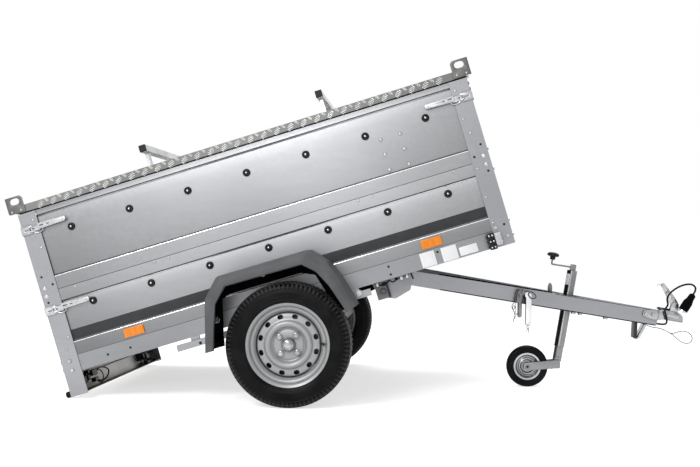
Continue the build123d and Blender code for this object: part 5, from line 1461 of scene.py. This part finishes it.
# %% Clamp with its screw and wing
bm = bmesh.new()
CLAMP_T = (62, 112)
turned(bm, [(TUBE_R + 0.2, CLAMP_T[0]), (TUBE_R + 7, CLAMP_T[0]), (TUBE_R + 8, CLAMP_T[0] + 1),
            (TUBE_R + 8, CLAMP_T[1] - 1), (TUBE_R + 7, CLAMP_T[1]), (TUBE_R + 0.2, CLAMP_T[1])],
       moved(JOCKEY_S, 0, 0), steps=40, closed=True)
for side in (1, -1):
    s0, s1 = JOCKEY_S + 4, JOCKEY_S + 10
    plan = [(s0, 28), (s1, 28), (s1, arm_out(s1) - 35), (s0, arm_out(s0) - 35)]
    cut_plate(bm, plan, *CLAMP_T, Matrix.Diagonal((1, side, 1, 1)), soften=0.5)
bent_rod(bm, [(JOCKEY_S - 88, 0, 88), (JOCKEY_S - TUBE_R - 2, 0, 88)], 7, smooth=False, sides=4)
give(bm, "clamp_ring", BAR_ZINC, ("jockey_clamp",), body="drawbar")
bm = bmesh.new()
turned(bm, [(0, -8), (11, -8), (12, -6), (12, 10), (10, 12), (0, 12)],
       framed((JOCKEY_S - 88, 0, 88), (0, 1, 0), (0, 0, 1)), steps=20)
wing = [(11.5 * math.cos(a), 26 * math.sin(a)) for a in (2 * math.pi * k / 24 for k in range(24))]
cut_plate(bm, wing, -3.5, 3.5, framed((JOCKEY_S - 92, 0, 134), (1, 0, 0.16), (-0.16, 0, 1)), soften=2)
block(bm, (JOCKEY_S - 94, -5, 92), (JOCKEY_S - 84, 5, 122), soften=1.5)
give(bm, "clamp_wing", LOCK_GREY, body="drawbar")

# %% Bracket under the nose
# The rear strap is painted near-black as shade; the front strap keeps the bracket's bright zinc.
bm = bmesh.new()
rear_strap = rounded([(1200, 46, 0), (1214, 46, 0), (1224, -22, 6), (1222, -35, 6), (1209, -35, 6)])
cut_plate(bm, rear_strap, -35.5, 35.5, SIDE, soften=1)
give(bm, "nose_strap_rear", PAINTED_SHADE_ZINC, ("nose_bracket",), body="drawbar")
bm = bmesh.new()
cut_plate(bm, rounded([(1248, 46, 0), (1261, 46, 0), (1240, -26, 7), (1230, -35, 7), (1220, -35, 5), (1229, -25, 5)]),
          -34.5, 34.5, SIDE, soften=1)
give(bm, "nose_strap_front", BRIGHT_ZINC, body="drawbar")

# %% Fork
WHEEL_S, WHEEL_T = 735, -258.9
LEG_T0 = -229
bm = bmesh.new()
ARM_LONG = JOCKEY_S + 18 - WHEEL_S
fork_turn = math.atan2(LEG_T0 + 11 - WHEEL_T, ARM_LONG)
FORK = moved(WHEEL_S, 0, WHEEL_T) @ spun(-fork_turn, "Y")
for z0, z1 in ((29, 33), (-33, -29)):
    outline = rounded([(-19, -19, 18), (ARM_LONG * 0.6, -19, 8), (ARM_LONG + 2, -21, 6), (ARM_LONG + 1, 20, 6),
                       (-19, 19, 18)], 8)
    cut_plate(bm, outline, z0, z1, FORK @ SIDE, soften=1.2)
block(bm, (JOCKEY_S - 15, -30.5, LEG_T0 - 2), (JOCKEY_S + 16, 30.5, LEG_T0 + 20), soften=3)
turned(bm, [(14, 20), (21.9, 20), (21.9, 40), (14, 40)], moved(JOCKEY_S, 0, LEG_T0), steps=32, closed=True)
for side in (1, -1):
    out = FORK @ SIDE @ Matrix.Diagonal((1, 1, side, 1)) @ moved(0, 0, 33)
    turned(bm, drum(12, 1.5), out, steps=20)
    turned(bm, [(0, 1.5), (8.5, 1.5), (8.5, 5), (7, 6), (0, 6)], out, steps=6)
give(bm, "fork_bars", FORK_ZINC, ("jockey_fork",), body="jockey_fork")

bm = bmesh.new()
for side in (1, -1):
    turned(bm, [(0, 39), (5.4, 39), (4.8, 40), (0, 40.2)], FORK @ SIDE @ Matrix.Diagonal((1, 1, side, 1)), steps=14)
give(bm, "axle_sockets", MATT_BLACK, body="jockey_fork")

# %% Solid tyre and pressed rim
ON_JOCKEY = moved(WHEEL_S, 0, WHEEL_T) @ SIDE
half = [(66, 19.5), (70, 22.4), (76, 24.2), (82, 25), (83, 24.2), (86, 24.2), (87, 24.6), (91, 23.4), (95, 20.6),
        (98.4, 16.6), (99.8, 12), (100, 7.4), (98.6, 7.0), (98.6, 5.4), (100, 5.0), (100, 0.9), (98.8, 0.7)]
section = half + [(r, -h) for r, h in reversed(half)]
bm = bmesh.new()
turned(bm, section + [(63, -18), (63, 18)], ON_JOCKEY, steps=72, closed=True)
give(bm, "solid_tyre", TYRE_RUBBER, ("jockey_tyre",), body="jockey_wheel", crease=24)
half = [(8.4, 25), (15, 25), (17, 22), (18, 11), (21, 7), (28, 6.5), (30, 11), (35, 13.5), (39, 12.5), (41, 6),
        (45, 4), (49, 4.6), (52, 9), (54, 17), (57, 21.6), (62, 22.6), (65.6, 22.2), (66, 20.4), (64, 19)]
section = half + [(62.5, 17.5), (62.5, -17.5)] + [(r, -h) for r, h in reversed(half)]
bm = bmesh.new()
turned(bm, section, ON_JOCKEY, steps=64, closed=True)
give(bm, "jockey_disc", CUP_ZINC, ("jockey_rim",), body="jockey_wheel", crease=28)

# %% Conduit along the arm, and painted shade lines at the arms' edges
ARM_TOP, ARM_MID = 114, 81
ARM_HIGH, ARM_GROWTH = 66, 0.00755      # height at the arm's rear end, and its growth along the arm
# A black conduit along the right arm; its dark line also stands in for the shade between the arms.
bm = bmesh.new()
bent_rod(bm, [(s, -(arm_out(s) - 43), ARM_TOP - 1.5 + (s - 240) * 0.004) for s in range(236, 777, 60)], 8, sides=3)
give(bm, "arm_conduit", MATT_BLACK, body="drawbar")

# Black rods along the arms' edges are painted shade at the folds.
bm = bmesh.new()
for side in (1, -1):
    for edge, first, last, r in ((-1, 250, 1296, 2.8), (1, 790, 1290, 2.0)):
        ends = [(s, ARM_MID + edge * ((ARM_HIGH + (s - ARM_S0) * ARM_GROWTH) / 2 - r + 0.4)) for s in (first, last)]
        bent_rod(bm, [(s, -side * (arm_out(s) - 1.6), w) for s, w in ends], r, smooth=False)
give(bm, "arm_edges", MATT_BLACK, body="drawbar")

# %% Bolts under the arms
under = [((890, -130, 44.7), (0, 0, -1)), ((924, -122, 44.5), (0, 0, -1)), ((1050, -88, 44), (0, 0, -1))]
fasten("under_bolts", hex_large, under, BRIGHT_ZINC, body="drawbar")

# %% [markdown]
# ## Lead and breakaway wire
# Each cord is a NURBS curve through the air along its route. The plug, the gland and the crimp are turned
# or cut pieces that lie on the route's ends, so they are placed from the same points.

# %% Cord builder
def bar_point(point):
    return BAR @ Vector(point)


CORD_STEPS = 14


def cord(name, route, radius, finish, stands_for):
    """A NURBS cord whose control points are the route."""
    curve = bpy.data.curves.new(name, "CURVE")
    curve.dimensions = "3D"
    spline = add_spline(curve, "NURBS", [bar_point(at) for at in route])
    spline.order_u = 3
    spline.use_endpoint_u = True
    spline.resolution_u = CORD_STEPS
    curve.bevel_depth = radius * MM
    curve.bevel_resolution = 4
    curve.use_fill_caps = True
    curve.materials.append(finish)
    piece = in_scene(name, curve)
    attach(piece, "drawbar")
    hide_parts(stands_for)
    return piece


# %% Lead and plug
LEAD_R = 4.5
LEAD = [(1310, -20, 54), (1334, -20, 54), (1350, -44, 62), (1341, -53, 93), (1323, -53, 127),
        (1340, -53, 152), (1325, -53, 181), (1340, -52, 217), (1378, -52, 252), (1414, -52, 268),
        (1441, -52, 267), (1456, -52, 248), (1446, -52, 224)]
lead = cord("lead_cord", LEAD, LEAD_R, LEAD_BLACK, "lead")


def pointing(start, towards):
    """Place at start with local Z towards a direction."""
    return Matrix.Translation(start) @ Vector(towards).to_track_quat("Z", "Y").to_matrix().to_4x4()


plug_way = Vector(LEAD[-1]) - Vector(LEAD[-2])
PLUG = pointing(LEAD[-1], plug_way)
outline = [(0, 0.2), (6.4, 0.2), (8, 1.5), (14, 5), (15.4, 8), (16, 16), (17, 30), (20.4, 41), (22, 46), (22.6, 50)]
for k in range(7):
    z = 52 + 4.8 * k
    outline += [(23, z), (23, z + 2.8), (21.8, z + 3.4), (21.8, z + 4.2)]
outline += [(22.6, 87), (22.6, 92), (0, 92)]
bm = bmesh.new()
turned(bm, outline, PLUG, steps=32)
block(bm, (16, -5, 50), (28, 5, 74), PLUG, soften=2.5)
plug_piece = give(bm, "lead_plug", MATT_BLACK, ("plug",), body="drawbar", crease=28)
bm = bmesh.new()
turned(bm, [(0, 91), (20.4, 91), (20.4, 95), (18.6, 95.6), (18.6, 101), (17, 102), (0, 102)], PLUG, steps=32)
plug_ring = give(bm, "plug_ring", BRIGHT_ZINC, body="drawbar")
bm = bmesh.new()
GLAND = pointing((1304, LEAD[0][1], LEAD[0][2]), (1, 0, 0))
turned(bm, [(0, 0), (6, 0), (6, 2.5), (5.2, 3), (4.6, 6), (0, 6)], GLAND, steps=20)
give(bm, "lead_gland", BLACK_PLASTIC, ("cable_gland",), body="drawbar")

# %% Breakaway wire
WIRE_R, CRIMP_LONG, WIRE_SIDE = 2, 22, 2.2
TAIL = [(1260.9, -31, 38), (1288, -32, 32.5), (1325, -34, 36), (1344, -34, 30)]
tail_way = (Vector(TAIL[-1]) - Vector(TAIL[-2])).normalized()
crimp_end = Vector(TAIL[-1]) + tail_way * CRIMP_LONG
lead_in = crimp_end + tail_way * 20
apart = Vector((0, WIRE_SIDE, 0))
LOOP = [(1404, -31.8, 29), (1430, -32.5, 41.5), (1458, -33.2, 40.5), (1482, -33.8, 22.5), (1482, -34.4, -4.5),
        (1458, -35, -17.5), (1429, -35.6, -10.5), (1410, -36.2, 0.5), (1396, -36.2, 9.5)]
loop_route = [tuple(p) for p in (crimp_end + apart, lead_in + apart, *map(Vector, LOOP), lead_in - apart,
                                 crimp_end - apart)]
tail_cord = cord("wire_tail_cord", TAIL, WIRE_R, WIRE_STEEL, "wire_tail")
loop_cord = cord("wire_loop_cord", loop_route, WIRE_R, WIRE_STEEL, "wire_loop")
bm = bmesh.new()
CRIMP = pointing(TAIL[-1], tail_way)
across = CRIMP.inverted().to_3x3() @ Vector((0, 1, 0))
spin = math.atan2(across.y, across.x)
CRIMP = CRIMP @ spun(spin)
cut_plate(bm, rect(-5.5, -3.5, 5.5, 3.5, 3.2), 0, CRIMP_LONG, CRIMP,
          soften=0.5)
crimp_piece = give(bm, "crimp_sleeve", BRIGHT_ZINC, ("wire_crimp",), body="drawbar")
print("cords placed")

# %% Put the fixing shapes away
for maker in MAKERS:
    bpy.data.objects.remove(maker)

# %% [markdown]
# ## Dress the solids
# A solid whose shape is already right only needs its finish. The table says which finish each takes.

# %% Finish of every solid
NODE_FINISH = {
    SHEET_ZINC: ("lower_side_board_right", "lower_side_board_left", "raised_side_board_right",
                 "raised_side_board_left", "lower_front_board", "raised_front_board", "raised_rear_board",
                 "tailgate"),
    FRAME_ZINC: ("rear_posts", "front_posts", "raised_posts", "mudguard_bars", "swing_arms",
                 "cover_lugs"),
    RAIL_ZINC: ("side_rails", "cross_members"),
    DULL_ZINC: ("tip_brackets",),
    # the axle beam is painted dark grey as the shade under the box
    LUG_GREY: ("axle_beam",),
    LIGHTENED_BOARD_ZINC: ("light_board",),
    TUBE_ZINC: ("jockey_tube", "jockey_crank", "jockey_leg"),
    BAR_ZINC: ("drawbar_arm_right", "drawbar_arm_left", "drawbar_gussets", "drawbar_rear_tube",
               "jockey_clamp", "tip_lock"),
    BRIGHT_ZINC: ("hinge_leaves", "cover_bars", "latches", "hub_right", "hub_left", "coupling_head",
                  "coupling_handle", "lock_strap", "nose_bracket", "jockey_fork", "wire_tail", "wire_crimp",
                  "wire_loop"),
    SHADED_TREAD_FLATS: ("cover",),
    WHEEL_PAINT: ("rim_right", "rim_left", "jockey_rim"),
    GUARD_PLASTIC: ("mudguard_right", "mudguard_left"),
    BLACK_PLASTIC: ("front_lamp_bases", "cable_gland", "plug"),
    TYRE_RUBBER: ("tyre_right", "tyre_left", "jockey_tyre"),
    SOFT_RUBBER: ("cover_seals", "tail_buffers", "lead"),
    FACED_PLY: ("floor",),
    RED_LENS: ("rear_lamps",),
    CLEAR_LENS: ("front_lamp_lenses",),
    AMBER_LENS: ("side_reflectors",),
}
for finish, names in NODE_FINISH.items():
    for name in names:
        nodes[name].data.materials.clear()
        nodes[name].data.materials.append(finish)
print("dressed", sum(len(names) for names in NODE_FINISH.values()), "of", len(nodes))
